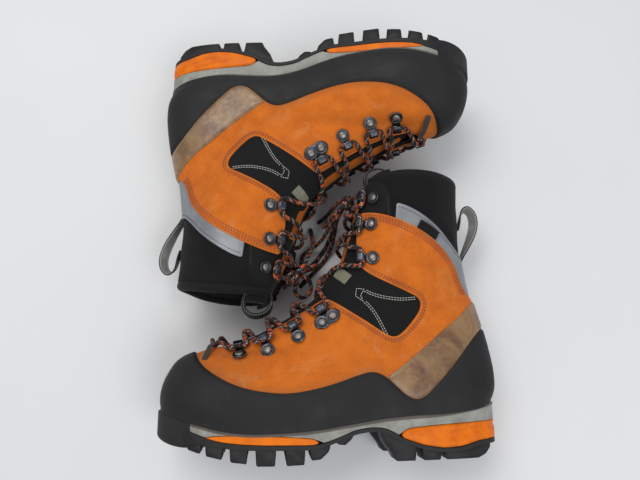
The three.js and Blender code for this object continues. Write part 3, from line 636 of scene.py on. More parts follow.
def strap_mesh(points, width_way, width, thick):
    """A flat strap along points, with rounded edges."""
    way = np.gradient(points, axis=0)
    way /= np.linalg.norm(way, axis=1)[:, None]
    wide = np.array(width_way, float)
    if wide.ndim == 1:
        wide = np.tile(wide, (len(points), 1))
    wide = wide - way * np.sum(wide * way, axis=1)[:, None]
    wide /= np.linalg.norm(wide, axis=1)[:, None]
    out = np.cross(way, wide)
    w, t = width / 2, thick / 2
    section = [(-w, 0), (-w + t * 0.6, -t), (-w * 0.5, -t), (0, -t), (w * 0.5, -t), (w - t * 0.6, -t),
               (w, 0), (w - t * 0.6, t), (w * 0.5, t), (0, t), (-w * 0.5, t), (-w + t * 0.6, t)]
    co = np.stack([points + wide * a + out * b for a, b in section], axis=1)
    size = len(section)
    faces = [tuple(f) for f in grid_faces(len(points), size, closed_columns=True).tolist()]
    last = (len(points) - 1) * size
    faces += [tuple(range(size))[::-1], tuple(last + k for k in range(size))]
    return co.reshape(-1, 3), faces


# ---- Materials -----------------------------------------------------------------------------------

class Look:
    """A procedural material on one Principled shader. Lengths in its noises are in millimetres, in the
    boot's own frame, so that a surface keeps its grain when it moves."""

    def __init__(self, name, roughness=0.7, **sockets):
        self.material = bpy.data.materials.new(name)
        self.material.use_nodes = True
        self.nodes, self.links = self.material.node_tree.nodes, self.material.node_tree.links
        self.shader = self.nodes["Principled BSDF"]
        self.shader.inputs["Roughness"].default_value = roughness
        for key, value in sockets.items():
            self.shader.inputs[key.replace("_", " ")].default_value = value
        self.at = self.read("at")

    def node(self, kind, **settings):
        made = self.nodes.new("ShaderNode" + kind)
        for key, value in settings.items():
            setattr(made, key, value)
        return made

    def read(self, name):
        return self.node("Attribute", attribute_name=name).outputs["Vector"]

    def number(self, name):
        return self.node("Attribute", attribute_name=name).outputs["Fac"]

    def set(self, socket, value):
        if isinstance(value, bpy.types.NodeSocket):
            self.links.new(value, socket)
        elif isinstance(value, tuple) and len(value) == 3 and socket.type == "RGBA":
            socket.default_value = (*value, 1)
        else:
            socket.default_value = value

    def noise(self, size, detail=4, rough=0.55, stretch=(1, 1, 1), distort=0.0):
        """Cloudy noise with patches about size across."""
        scale = self.node("VectorMath", operation="MULTIPLY")
        self.links.new(self.at, scale.inputs[0])
        scale.inputs[1].default_value = tuple(1 / (size * s) for s in stretch)
        made = self.node("TexNoise")
        self.links.new(scale.outputs[0], made.inputs["Vector"])
        made.inputs["Scale"].default_value = 1
        made.inputs["Detail"].default_value = detail
        made.inputs["Roughness"].default_value = rough
        made.inputs["Distortion"].default_value = distort
        return made.outputs["Fac"]

    def cells(self, size, feature="F1", stretch=(1, 1, 1)):
        scale = self.node("VectorMath", operation="MULTIPLY")
        self.links.new(self.at, scale.inputs[0])
        scale.inputs[1].default_value = tuple(1 / (size * s) for s in stretch)
        made = self.node("TexVoronoi", feature=feature)
        self.links.new(scale.outputs[0], made.inputs["Vector"])
        made.inputs["Scale"].default_value = 1
        return made.outputs["Distance"]

    def math(self, operation, a, b=0.0, clamp=False):
        made = self.node("Math", operation=operation, use_clamp=clamp)
        self.set(made.inputs[0], a)
        self.set(made.inputs[1], b)
        return made.outputs[0]

    def ramp(self, value, low, high, to_low=0.0, to_high=1.0):
        made = self.node("MapRange", interpolation_type="SMOOTHSTEP")
        self.set(made.inputs["Value"], value)
        for key, number in (("From Min", low), ("From Max", high), ("To Min", to_low), ("To Max", to_high)):
            made.inputs[key].default_value = number
        return made.outputs["Result"]

    def mix(self, share, a, b):
        made = self.node("Mix", data_type="RGBA")
        self.set(made.inputs["Factor"], share)
        for socket, value in ((made.inputs[6], a), (made.inputs[7], b)):
            self.set(socket, value)
        return made.outputs[2]

    def xyz(self, vector=None):
        made = self.node("SeparateXYZ")
        self.links.new(vector or self.at, made.inputs[0])
        return made.outputs

    def colour(self, value):
        self.set(self.shader.inputs["Base Color"], value)

    def rough(self, value):
        self.set(self.shader.inputs["Roughness"], value)

    def bump(self, height, depth, strength=1.0, after=None):
        """Relief of so many millimetres."""
        made = self.node("Bump")
        made.inputs["Strength"].default_value = strength
        made.inputs["Distance"].default_value = depth * MM
        self.links.new(height, made.inputs["Height"])
        if after is not None:
            self.links.new(after, made.inputs["Normal"])
        self.links.new(made.outputs[0], self.shader.inputs["Normal"])
        return made.outputs[0]


def suede():
    """Orange suede: a short mottled nap with darker rubbed stains towards the toe and along the sole."""
    look = Look("orange_suede", 0.92, Sheen_Weight=0.15, Sheen_Roughness=0.45)
    look.shader.inputs["Sheen Tint"].default_value = (1, 0.62, 0.3, 1)
    look.shader.inputs["Specular IOR Level"].default_value = 0.25
    nap = look.noise(1.1, 5, 0.65)
    cloud = look.noise(16, 4, 0.6)
    wide = look.noise(48, 3, 0.55, distort=0.6)
    base = look.mix(look.ramp(cloud, 0.3, 0.7), (0.43, 0.094, 0.007), (0.57, 0.135, 0.010))
    base = look.mix(look.ramp(nap, 0.35, 0.7, 0, 0.5), base, (0.64, 0.168, 0.020))
    stain = look.math("MULTIPLY", look.ramp(wide, 0.5, 0.72), look.ramp(cloud, 0.35, 0.75))
    toe = look.ramp(look.xyz()["X"], 150, 265, 0.25, 1)
    stain = look.math("MULTIPLY", look.math("MULTIPLY", stain, toe), 0.9)
    base = look.mix(stain, base, (0.24, 0.075, 0.022))
    rubbed = look.ramp(look.noise(34, 5, 0.65, distort=1.2), 0.52, 0.7, 0, 0.5)
    base = look.mix(rubbed, base, (0.56, 0.200, 0.060))
    scuff = look.ramp(look.noise(5, 6, 0.75, (2.2, 1, 0.6)), 0.62, 0.75, 0, 0.35)
    base = look.mix(scuff, base, (0.32, 0.10, 0.030))
    foot = look.ramp(look.number("edge"), 0.0, 9.0, 0.6, 0)
    walked = look.math("MULTIPLY", foot, look.ramp(cloud, 0.3, 0.6, 0.4, 1))
    base = look.mix(walked, base, (0.30, 0.095, 0.025))
    look.colour(base)
    soft = look.bump(look.noise(24, 3), 0.5, 0.5)
    look.bump(nap, 0.16, 0.55, soft)
    return look.material


def suede_edge():
    """The cut edge of the leather."""
    look = Look("orange_suede_edge", 0.9)
    look.colour(look.mix(look.noise(1.5, 4), (0.42, 0.11, 0.012), (0.62, 0.19, 0.03)))
    look.bump(look.noise(0.7, 4), 0.1, 0.5)
    return look.material


def rubber(name, dark, pale, roughness=0.62, dust=0.35, grain=0.6):
    """Black rubber with fine grain, grey scuffs and dust."""
    look = Look(name, roughness)
    look.shader.inputs["Specular IOR Level"].default_value = 0.35
    cloud = look.noise(22, 5, 0.6)
    scuff = look.ramp(look.noise(3.2, 6, 0.75, (2.6, 1, 0.8)), 0.58, 0.8)
    base = look.mix(look.ramp(cloud, 0.35, 0.75, 0, dust), dark, pale)
    base = look.mix(look.math("MULTIPLY", scuff, dust), base, tuple(c * 1.6 for c in pale))
    look.colour(base)
    look.rough(look.ramp(cloud, 0.3, 0.8, roughness - 0.1, roughness + 0.18))
    first = look.bump(look.noise(9, 3), 0.25, 0.4)
    look.bump(look.noise(grain, 4, 0.6), 0.06, 0.5, first)
    return look.material


def foam(name, dark, pale, dirt, roughness=0.55, shine=0.5):
    """Moulded midsole foam with random patches of dirt."""
    look = Look(name, roughness)
    look.shader.inputs["Specular IOR Level"].default_value = shine
    cloud = look.noise(14, 5, 0.6)
    base = look.mix(look.ramp(cloud, 0.3, 0.7), dark, pale)
    base = look.mix(look.ramp(look.noise(5, 6, 0.7), 0.55, 0.75, 0, 0.5), base, dirt)
    look.colour(base)
    look.rough(look.ramp(cloud, 0.3, 0.7, roughness - 0.12, roughness + 0.15))
    look.bump(look.noise(1.2, 4), 0.05, 0.5)
    return look.material


def heel_band_look():
    """Cloudy tan plastic over the orange leather."""
    look = Look("tan_band", 0.38, Coat_Weight=0.25, Coat_Roughness=0.25)
    look.shader.inputs["Subsurface Weight"].default_value = 0.08
    look.shader.inputs["Subsurface Scale"].default_value = 0.002
    cloud = look.noise(26, 5, 0.65, distort=0.8)
    base = look.mix(look.ramp(cloud, 0.32, 0.68), (0.105, 0.045, 0.018), (0.26, 0.14, 0.055))
    base = look.mix(look.ramp(look.noise(9, 5, 0.7), 0.52, 0.72, 0, 0.55), base, (0.22, 0.14, 0.080))
    base = look.mix(look.ramp(look.noise(30, 3), 0.45, 0.7, 0.0, 0.5), base, (0.28, 0.185, 0.095))
    look.colour(base)
    look.rough(look.ramp(look.noise(6, 5, 0.7), 0.3, 0.7, 0.3, 0.6))
    look.bump(look.noise(1.4, 5), 0.08, 0.4)
    return look.material


def ribbed():
    """Black softshell with fine ribs up the shaft."""
    look = Look("ribbed_softshell", 0.9, Sheen_Weight=0.03)
    look.shader.inputs["Specular IOR Level"].default_value = 0.25
    turn = look.xyz(look.read("round"))["X"]
    rib = look.math("SINE", look.math("MULTIPLY", turn, 2 * math.pi / 1.9))
    knit = look.math("SINE", look.math("MULTIPLY", look.xyz()["Z"], 2 * math.pi / 0.9))
    cloud = look.noise(30, 4)
    base = look.mix(look.ramp(rib, -1, 1), (0.0012, 0.0012, 0.0014), (0.0042, 0.0042, 0.0044))
    base = look.mix(look.ramp(cloud, 0.35, 0.75, 0, 0.25), base, (0.011, 0.0108, 0.0105))
    look.colour(base)
    first = look.bump(rib, 0.18, 0.7)
    second = look.bump(knit, 0.05, 0.4, first)
    look.bump(look.noise(0.6, 3), 0.05, 0.4, second)
    return look.material


def plain_cloth(name, dark, pale, weave=0.7, sheen=0.2, roughness=0.85):
    """A close woven cloth."""
    look = Look(name, roughness, Sheen_Weight=sheen)
    look.shader.inputs["Specular IOR Level"].default_value = 0.28
    x, y, z = (look.xyz()[k] for k in "XYZ")
    warp = look.math("SINE", look.math("MULTIPLY", look.math("ADD", x, y), 2 * math.pi / weave))
    weft = look.math("SINE", look.math("MULTIPLY", z, 2 * math.pi / weave))
    thread = look.math("MULTIPLY", warp, weft)
    base = look.mix(look.ramp(thread, -0.8, 0.8), dark, pale)
    base = look.mix(look.ramp(look.noise(12, 5), 0.45, 0.75, 0, 0.3), base, tuple(c * 1.7 for c in pale))
    look.colour(base)
    first = look.bump(thread, 0.09, 0.6)
    look.bump(look.noise(5, 3), 0.2, 0.3, first)
    return look.material


def reflective():
    """Blue-grey strip with glass beads in its weave."""
    look = Look("reflective_strip", 0.42, Metallic=0.15)
    cloud = look.noise(18, 4)
    base = look.mix(look.ramp(cloud, 0.3, 0.7), (0.165, 0.175, 0.19), (0.225, 0.235, 0.25))
    base = look.mix(look.ramp(look.noise(4, 5, 0.7), 0.58, 0.75, 0, 0.45), base, (0.12, 0.115, 0.11))
    look.colour(base)
    look.bump(look.noise(0.45, 3), 0.06, 0.5)
    return look.material


def metal(name, dark, pale, roughness=0.3):
    """Dark polished metal with fine wear."""
    look = Look(name, roughness, Metallic=1.0)
    worn = look.ramp(look.noise(2.6, 5, 0.7), 0.5, 0.72)
    look.colour(look.mix(worn, dark, pale))
    look.rough(look.ramp(look.noise(1.5, 4), 0.3, 0.7, roughness - 0.08, roughness + 0.15))
    look.bump(look.noise(0.5, 3), 0.02, 0.3)
    return look.material


def lace_look():
    """Braid of black, orange-red and a few white strands. Each face knows its strand."""
    look = Look("braided_lace", 0.8, Sheen_Weight=0.08)
    strand = look.number("strand")
    shift = look.math("ADD", strand, look.ramp(look.noise(16, 2), 0.4, 0.6, 0, 0.9))
    white = look.math("COMPARE", strand, 3.0)
    white.node.inputs[2].default_value = 0.3
    orange = look.math("MODULO", look.math("ADD", strand, 1.0), 4.0)
    orange = look.math("LESS_THAN", orange, 0.5)
    patch = look.ramp(look.noise(4.0, 2, 0.5), 0.57, 0.6)
    dark = look.ramp(look.noise(7.0, 2, 0.5), 0.47, 0.5)
    red = look.mix(look.noise(1.5, 3), (0.50, 0.062, 0.008), (0.66, 0.115, 0.013))
    shown = look.math("MAXIMUM", look.math("MULTIPLY", orange, dark), look.math("MULTIPLY", patch, 0.75))
    shown = look.math("MULTIPLY", shown, look.ramp(shift, 0, 1, 0.8, 1))
    base = look.mix(shown, (0.005, 0.0045, 0.0045), red)
    base = look.mix(look.math("MULTIPLY", white, 0.7), base, (0.50, 0.48, 0.45))
    look.colour(base)
    look.bump(look.noise(0.35, 3, 0.6), 0.08, 0.6)
    return look.material


def thread(name, colour):
    look = Look(name, 0.75, Sheen_Weight=0.2)
    look.colour(look.mix(look.noise(1.2, 3), tuple(c * 0.75 for c in colour), colour))
    look.bump(look.noise(0.25, 2), 0.03, 0.5)
    return look.material


def floor_look():
    look = Look("table_top", 0.6)
    coordinates = look.node("TexCoord").outputs["Object"]
    made = look.node("TexNoise")
    look.links.new(coordinates, made.inputs["Vector"])
    made.inputs["Scale"].default_value = 7
    made.inputs["Detail"].default_value = 5
    look.colour(look.mix(made.outputs["Fac"], (0.66, 0.66, 0.665), (0.70, 0.70, 0.70)))
    return look.material


def make_looks():
    return {
        "suede": suede(),
        "suede_edge": suede_edge(),
        "rand": rubber("rand_rubber", (0.005, 0.005, 0.0055), (0.022, 0.022, 0.023), 0.66, 0.45),
        "outsole": rubber("sole_rubber", (0.006, 0.006, 0.007), (0.036, 0.035, 0.033), 0.6, 0.45),
        "midsole": foam("midsole_foam", (0.19, 0.185, 0.165), (0.30, 0.295, 0.27), (0.10, 0.085, 0.065)),
        # Painted shade: a dark brown band that stands for the shadow cast by the rand's edge on the top of
        # the midsole.
        "rand_shade_strip": foam("painted_shade_under_rand", (0.060, 0.050, 0.036), (0.115, 0.096, 0.072), (0.05, 0.04, 0.03)),
        "wedge": foam("orange_wedge", (0.60, 0.115, 0.0015), (0.76, 0.175, 0.003), (0.34, 0.11, 0.02),
                      0.5, 0.2),
        "band": heel_band_look(),
        "ribbed": ribbed(),
        "facing": plain_cloth("collar_facing", (0.0025, 0.0025, 0.0027), (0.0048, 0.0048, 0.005), 0.6, 0.05),
        "lining": plain_cloth("lining", (0.007, 0.007, 0.008), (0.018, 0.018, 0.019), 1.4, 0.2),
        "window": plain_cloth("window_panel", (0.002, 0.002, 0.002), (0.004, 0.0039, 0.0038), 0.5, 0.04),
        "tongue": plain_cloth("tongue_cloth", (0.003, 0.003, 0.003), (0.008, 0.008, 0.0083), 1.1, 0.08),
        "reflective": reflective(),
        "gunmetal": metal("gunmetal", (0.055, 0.06, 0.072), (0.16, 0.165, 0.18), 0.34),
        "rivet": metal("rivet", (0.20, 0.18, 0.165), (0.38, 0.35, 0.32), 0.42),
        "lace": lace_look(),
        "aglet": rubber("aglet_sleeve", (0.012, 0.012, 0.012), (0.03, 0.03, 0.03), 0.35, 0.2),
        "webbing": plain_cloth("webbing", (0.008, 0.008, 0.009), (0.022, 0.022, 0.023), 0.8, 0.15),
        "webbing_grey": plain_cloth("webbing_grey", (0.15, 0.145, 0.14), (0.26, 0.25, 0.24), 0.8, 0.1),
        "keeper": plain_cloth("keeper_webbing", (0.13, 0.13, 0.09), (0.22, 0.215, 0.155), 0.8, 0.1),
        "keeper_dark": plain_cloth("toe_webbing", (0.02, 0.019, 0.018), (0.05, 0.048, 0.045), 0.8, 0.1),
        "thread_white": thread("white_thread", (0.62, 0.60, 0.55)),
        "thread_black": thread("black_thread", (0.035, 0.033, 0.032)),
        "hole": thread("needle_hole", (0.40, 0.082, 0.008)),
        "board": foam("board", (0.42, 0.38, 0.28), (0.58, 0.53, 0.42), (0.3, 0.26, 0.2), 0.8),
        "footbed": plain_cloth("footbed", (0.05, 0.052, 0.056), (0.11, 0.112, 0.12), 1.2, 0.3),
    }


LOOKS = {}


# ---- Upper ---------------------------------------------------------------------------------------

def in_outline(outline, shrink=0.0):
    """A function of points that is below 0 inside a side-view outline."""
    return lambda p: signed_distance(outline, p[:, 0], p[:, 2]) + shrink


def round_length(angle):
    """Distance round the shaft, for the ribs."""
    fine = np.linspace(0, 2 * math.pi, 721)
    shaft = last_point(fine, np.full(len(fine), 0.8))
    run = np.concatenate([[0], np.cumsum(np.linalg.norm(np.diff(shaft, axis=0), axis=1))])
    ribs = round(run[-1] / 1.9) * 1.9
    return np.interp(angle, fine, run / run[-1] * ribs)


def distance_to(line, p):
    """How far points are from a side-view line, as seen from the side."""
    return np.min(np.hypot(p[:, 0, None] - line[None, :, 0], p[:, 2, None] - line[None, :, 1]), axis=1)


FACING_SEAM = [[91, 214], [91, 232], [92.5, 243], [97, 251], [105, 256], [120, 259]]
RIM_BAND = 0.955    # height where the rolled binding of the rim starts


def collar_out(p, angle, v):
    """The padded collar swells between its seams and dips at each seam."""
    above = signed_distance(joined(smooth(GREY_TOP), [[BEHIND, 181], [BEHIND, 0], [AHEAD, 0], [AHEAD, 232]]),
                            p[:, 0], p[:, 2])
    from_heel = np.minimum(angle, 2 * math.pi - angle)    # the heel's pull loop lies against it
    out = -0.2 + 1.9 * ease(above / 9) * ease((from_heel - 0.3) / 0.5)
    seam = smooth(FACING_SEAM, 10)
    near = distance_to(seam, p)
    out -= 1.0 * np.exp(-(near / 1.1) ** 2) * (above > 0)
    rise = (v - RIM_BAND) * 230
    out -= 1.0 * np.exp(-(rise / 1.0) ** 2)
    out += 0.5 * ease(rise / 3) * ease((from_heel - 0.3) / 0.5)
    return out


def lining_low(p, angle, v):
    front = ease((np.abs(angle - math.pi) - 0.75) / 0.4)
    return -LINING - 2.8 * ease((v - 0.7) / 0.28) * front


def make_inner_boot(side):
    outline = opening_outline
    points, faces, where = wall(lambda p: -signed_distance(outline, p[:, 0], p[:, 2]), lining_low, collar_out,
                                span=(0, 0.985), edge=0.42)
    centre = np.array([points[list(f)].mean(axis=0) for f in faces])
    face_where = np.array([where[f[0]] for f in faces])
    normal = last_normal(face_where[:, 0], face_where[:, 1])
    base = last_point(face_where[:, 0], face_where[:, 1])
    outward = np.sum((centre - base) * normal, axis=1)
    seam = smooth(FACING_SEAM, 10)
    order = np.argsort(seam[:, 1])
    seam_x = np.interp(centre[:, 2], seam[order, 1], seam[order, 0])
    mats = np.where(outward > -1.6, 0, 2)
    mats = np.where((outward > -1.6) & (centre[:, 0] > seam_x), 1, mats)
    mats = np.where((face_where[:, 1] > RIM_BAND) & (outward > -6.5), 1, mats)
    round_at = np.stack([round_length(where[:, 0]), where[:, 1] * 230, np.zeros(len(where))], axis=1)
    make_piece(side, "inner_boot_shell", points, faces, [LOOKS["ribbed"], LOOKS["facing"], LOOKS["lining"]],
               "boot", "black_fabric", ["inner_boot"], mats, {"round": ("POINT", round_at)})


def leather_high(p, angle, v):
    """Leather with soft creases at the ankle."""
    out = np.full(len(v), GAP + LEATHER)
    for (x, z), way, size in (((128, 128), 2.2, 1.0), ((104, 160), 1.7, 0.8), ((52, 150), 0.9, 0.7)):
        across = (p[:, 0] - x) * math.cos(way) + (p[:, 2] - z) * math.sin(way)
        lengthwise = -(p[:, 0] - x) * math.sin(way) + (p[:, 2] - z) * math.cos(way)
        out += size * 0.45 * np.sin(across / 4.2) * np.exp(-(across / 11) ** 2 - (lengthwise / 26) ** 2)
    waves = np.array([noise.noise(Vector((a / 26, b / 26, c / 26))) for a, b, c in p.tolist()])
    return out + 0.35 * waves


def make_leather(side):
    points, faces, where = wall(in_outline(leather_outline, 0.5), -0.1, leather_high, edge=0.3)
    rand = smooth(RAND_EDGE, 4)
    near = distance_to(rand, points)
    base = last_point(where[:, 0], where[:, 1])
    outward = np.sum((points - base) * last_normal(where[:, 0], where[:, 1]), axis=1)
    mats = np.array([1 if min(outward[list(f)]) < GAP + LEATHER - 0.8 else 0 for f in faces])
    make_piece(side, "suede_upper", points, faces, [LOOKS["suede"], LOOKS["suede_edge"]], "boot",
               "orange_leather", ["leather_upper"], mats, {"edge": ("POINT", near)})


def make_window(side):
    front = smooth(LINING_FRONT, 6)
    low = front[(front[:, 1] > 150) & (front[:, 1] < 176)][::-1]
    outline = joined(smooth(WINDOW_EDGE), [[131, 176]], low, [[156, 146]])
    points, faces, _ = wall(in_outline(outline, -2.4), -0.3, GAP + 0.75, edge=0.3, rows=150)
    make_piece(side, "window_panel", points, faces, LOOKS["window"], "boot", "black_fabric")


def rand_high(p, angle, v):
    inside = -signed_distance(rand_outline, p[:, 0], p[:, 2])
    out = TRIM + 0.35 + 1.5 * ease(inside / 2.6)
    toe = ease((p[:, 0] - 238) / 30) * ease((80 - p[:, 2]) / 12)
    out += 0.5 * toe
    ledge = np.exp(-((p[:, 2] - sole_top(p[:, 0], p[:, 1]) - 4.5) / 1.4) ** 2)
    return out - 0.35 * ledge


def make_rand(side):
    points, faces, _ = wall(in_outline(rand_outline, 0.4), GAP + LEATHER - 0.5, rand_high, edge=0.25)
    make_piece(side, "rubber_rand", points, faces, LOOKS["rand"], "boot", "black_rubber", ["rand"])


def make_heel_band(side):
    def high(p, angle, v):
        inside = -signed_distance(band_outline, p[:, 0], p[:, 2])
        return GAP + LEATHER + 0.5 + 1.25 * ease(inside / 2.2)
    points, faces, _ = wall(in_outline(band_outline, 0.3), GAP + LEATHER - 0.3, high, edge=0.3)
    make_piece(side, "heel_strap_band", points, faces, LOOKS["band"], "boot", "tan_band", ["heel_band"])


def make_reflective(side):
    points, faces, _ = wall(in_outline(grey_outline, 0.2), -0.3, GAP + 0.95, edge=0.3)
    make_piece(side, "reflective_strip", points, faces, LOOKS["reflective"], "boot", "grey_fabric",
               ["reflective_band"])


# ---- Sole ----------------------------------------------------------------------------------------

outsole_top = profile([
    [-30, 15.5], [14, 14.5], [34, 10.2], [50, 9.5], [67, 12], [76, 14.8], [87, 18.8], [95, 23.5],
    [102, 26.6], [111, 28], [120, 27.6], [130, 26], [138, 23], [147, 19.8], [156, 17.2], [165, 15.8],
    [185, 16], [219, 17], [244, 19.5], [257, 22.8], [270, 27],
])
outsole_under = profile([
    [-30, 12], [14, 10.4], [34, 6.4], [50, 6], [67, 8.2], [75, 11], [86, 14.4], [94, 18.6], [101, 22],
    [110, 24.2], [119, 24.2], [129, 22.5], [138, 19.4], [150, 15.6], [164, 12], [185, 12], [219, 12.6],
    [244, 14.5], [262, 16.5], [274, 14.5], [286, 15.6], [297, 19], [306, 24.5], [315, 34],
])
heel_wedge_top = profile([[-30, 31.5], [13, 30.6], [50, 29], [66, 28], [83, 26], [91, 20.9]])
front_wedge_top = profile([[161, 18.3], [167, 20.6], [193, 23], [219, 24.6], [248, 24], [258, 22.6]])
LUGS = [
    [[4, 14], [4.5, 8], [10, 3], [18, 0], [49, 0], [50.5, 10]],
    [[53.5, 11], [54, 0], [70, 0], [71, 13]],
    [[75, 14], [77, 0], [94, 0], [97, 6], [103, 14], [108, 26]],
    [[130, 25], [133, 19], [139, 14.5], [145, 15.5], [148, 18.4]],
    [[151, 17], [153, 10], [160, 4], [168, 3.5], [170, 13]],
    [[173, 14], [174, 0.4], [189, 0], [190, 14]],
    [[197.5, 14], [198.5, 0], [214, 0.2], [215, 14]],
    [[221, 14], [222, 2.2], [235.5, 3.6], [236.5, 15]],
    [[241.5, 15.5], [243, 5.6], [256, 8.2], [257, 17]],
    [[260, 18], [261.5, 10], [272, 13], [273.5, 18]],
]
HEEL_X, TOE_X, SOLE_GROW = -5, 302.5, 1.5
FIRST_MIDDLE_LUG = 5


def sole_half(x, grow):
    """Half the sole's width at x."""
    back, front = HEEL_X - grow, TOE_X + grow
    s = np.clip((x - back) / (front - back), 0.0004, 0.9996)
    end = (1 - np.abs(1 - 2 * s) ** 3) ** (1 / 3)
    return end * (along(RINGS[:1, 4:10].T.copy(), s)[:, 0] + grow)


def sole_stations(x0, x1, grow, step=2.2):
    """Places along the sole, closer together where its ends curve."""
    count = max(8, int((x1 - x0) / step))
    t = (1 - np.cos(np.linspace(0, math.pi, count))) / 2
    back, front = HEEL_X - grow, TOE_X + grow
    even_x = x0 + (x1 - x0) * np.linspace(0, 1, count)
    curved = x0 + (x1 - x0) * t
    share = 0.75 if x0 <= back + 1 or x1 >= front - 1 else 0.2
    return even_x * (1 - share) + curved * share


def sole_bar(x0, x1, low, high, grow=SOLE_GROW, radius=1.1, flank=None, inset=0.0):
    """A part of the sole between two heights given at x and y, with rounded edges. flank gives how far
    its sides stand in or out at each share of the height."""
    x0, x1 = max(x0, HEEL_X - grow + 0.05), min(x1, TOE_X + grow - 0.05)
    stations = sole_stations(x0, x1, grow)
    half = sole_half(stations, grow) - inset
    flank = flank or (lambda x, share: 0 * x)
    shares = [0, 0.06, 0.15, 0.24, 0.33, 0.42, 0.5, 0.58, 0.67, 0.76, 0.85, 0.94, 1]
    loops = []
    for k, x in enumerate(stations):
        near = min(k, len(stations) - 1 - k)
        pull = radius * max(0, 1 - near / 2.0)   # the ends are rounded too
        ring = []
        for sign in (1, -1):
            y_edge = bend(x) + sign * half[k]
            lo, hi = low(x, y_edge), high(x, y_edge)
            run = shares if sign == 1 else shares[::-1]
            for share in run:
                corner = radius if share in (0, 1) else 0
                y = y_edge + sign * (float(flank(np.array([x]), share)[0]) - corner)
                z = lo + (hi - lo) * share
                z += pull * (0.5 - share) * 2 if hi - lo > 2.5 * radius else 0
                ring.append((x, y, z))
        loops.append(ring)
    size = len(loops[0])
    points = np.array(loops, float).reshape(-1, 3)
    faces = [tuple(f) for f in grid_faces(len(loops), size, closed_columns=True).tolist()]
    last = (len(loops) - 1) * size
    faces += [tuple(range(size))[::-1], tuple(last + k for k in range(size))]
    return points, faces


def lug_block(outline, y_of, y_in, bevel=0.9):
    """One lug: its side profile, carried from its inner face to the sole's edge, with bevelled edges."""
    line = even(np.array(outline + outline[:1], float), 2.0)[:-1]
    centre = line.mean(axis=0)
    near, far = (line - centre) * (1 - bevel / 9) + centre, line
    y_edge = y_of(line[:, 0])
    sign = np.sign(y_edge.mean() - y_in)
    rows = [(near, np.full(len(line), y_in)), (far, np.full(len(line), y_in + sign * bevel)),
            (far, y_edge - sign * bevel), (near, y_edge)]
    points = np.vstack([np.stack([p[:, 0], y, p[:, 1]], axis=1) for p, y in rows])
    size = len(line)
    faces = [tuple(f) for f in grid_faces(4, size, closed_columns=True).tolist()]
    faces += [tuple(range(size))[::-1], tuple(3 * size + k for k in range(size))]
    if sign > 0:
        faces = [f[::-1] for f in faces]
    return points, faces


def make_outsole(side):
    def top(x, y):
        return float(sole_top(np.array([x]), y)[0]) if x > 270 else float(outsole_top(np.array([x]))[0])

    def under(x, y):
        return float(outsole_under(np.array([x]))[0])

    def outer(x):
        return bend(x) + sole_half(x, SOLE_GROW) - 0.2

    def inner(x):
        return bend(x) - sole_half(x, SOLE_GROW) + 0.2

    parts = [sole_bar(-20, 320, under, top, radius=1.4)]
    for i, lug in enumerate(LUGS):
        parts.append(lug_block(lug, outer, 17))
        parts.append(lug_block(lug, inner, -17))
        if i >= FIRST_MIDDLE_LUG:
            parts.append(lug_block(lug, lambda x: 0 * x + 6, -8))
    points, faces = merged(parts)
    make_piece(side, "lugged_outsole", points, faces, LOOKS["outsole"], "boot", "black_rubber", ["outsole"])


def make_midsole(side):
    def top(x, y):
        return float(sole_top(np.array([x]), y)[0])

    def low(x, y):
        z = float(outsole_top(np.array([x]))[0])
        if x < 90:
            z = max(z, float(heel_wedge_top(np.array([x]))[0]))
        if 160 < x < 259:
            z = max(z, float(front_wedge_top(np.array([x]))[0]))
        return z + 0.3

    def hollow(x, share):
        return -0.9 * np.sin(math.pi * share) * ease((250 - x) / 40)

    points, faces = sole_bar(-20, 270.5, low, top, radius=0.9, flank=hollow)
    make_piece(side, "foam_midsole", points, faces, LOOKS["midsole"], "boot", "grey_midsole", ["midsole"])
    # A dark strip round the midsole's top, just under the rand: painted shade standing for the rand's shadow,
    # drawn as its own thin piece.
    rand_shade_strip = sole_bar(-20, 270.5, lambda x, y: top(x, y) - 2.2 - 1.6 * float(ease((x - 20) / 60)),
                    lambda x, y: top(x, y) - 0.35, grow=SOLE_GROW + 0.2, radius=0.5)
    make_piece(side, "painted_shade_under_rand", *rand_shade_strip, LOOKS["rand_shade_strip"], "boot", "grey_midsole")


def make_wedges(side):
    def low(x, y):
        return float(outsole_top(np.array([x]))[0]) + 0.2

    def sculpted(x, share):
        """Crowned, with a leaf-shaped hollow that opens towards the heel."""
        opened = ease((68 - x) / 30)
        middle = 0.52 + 0.24 * ease((38 - x) / 38)
        width = 0.05 + 0.16 * opened * (1 - 0.45 * ease((30 - x) / 40))
        hollow = 2.4 * opened * np.exp(-(((share - middle) / width) ** 4))
        return 1.0 * np.sin(math.pi * share) - hollow

    heel = sole_bar(-20, 88, low, lambda x, y: float(heel_wedge_top(np.array([x]))[0]), radius=1.2,
                    flank=sculpted)
    make_piece(side, "orange_heel_wedge", *heel, LOOKS["wedge"], "boot", "orange_insert", ["heel_wedge"])
    front = sole_bar(162, 257, low, lambda x, y: float(front_wedge_top(np.array([x]))[0]), radius=0.8)
    make_piece(side, "orange_forefoot_wedge", *front, LOOKS["wedge"], "boot", "orange_insert",
               ["forefoot_wedge"])


def make_inside_plates(side):
    def over(height):
        return lambda x, y: float(sole_top(np.array([x]), y)[0]) + height

    board = sole_bar(HEEL_X + 11, TOE_X - 11, over(1), over(3), grow=-11, radius=0.5)
    make_piece(side, "stiff_board", *board, LOOKS["board"], "boot", "board", ["lasting_board"])
    footbed = sole_bar(HEEL_X + 11.5, TOE_X - 11.5, over(4), over(7.6), grow=-11.5, radius=1.2)
    make_piece(side, "felt_footbed", *footbed, LOOKS["footbed"], "boot", "footbed", ["footbed"])


# ---- Tongue and pull loops -----------------------------------------------------------------------

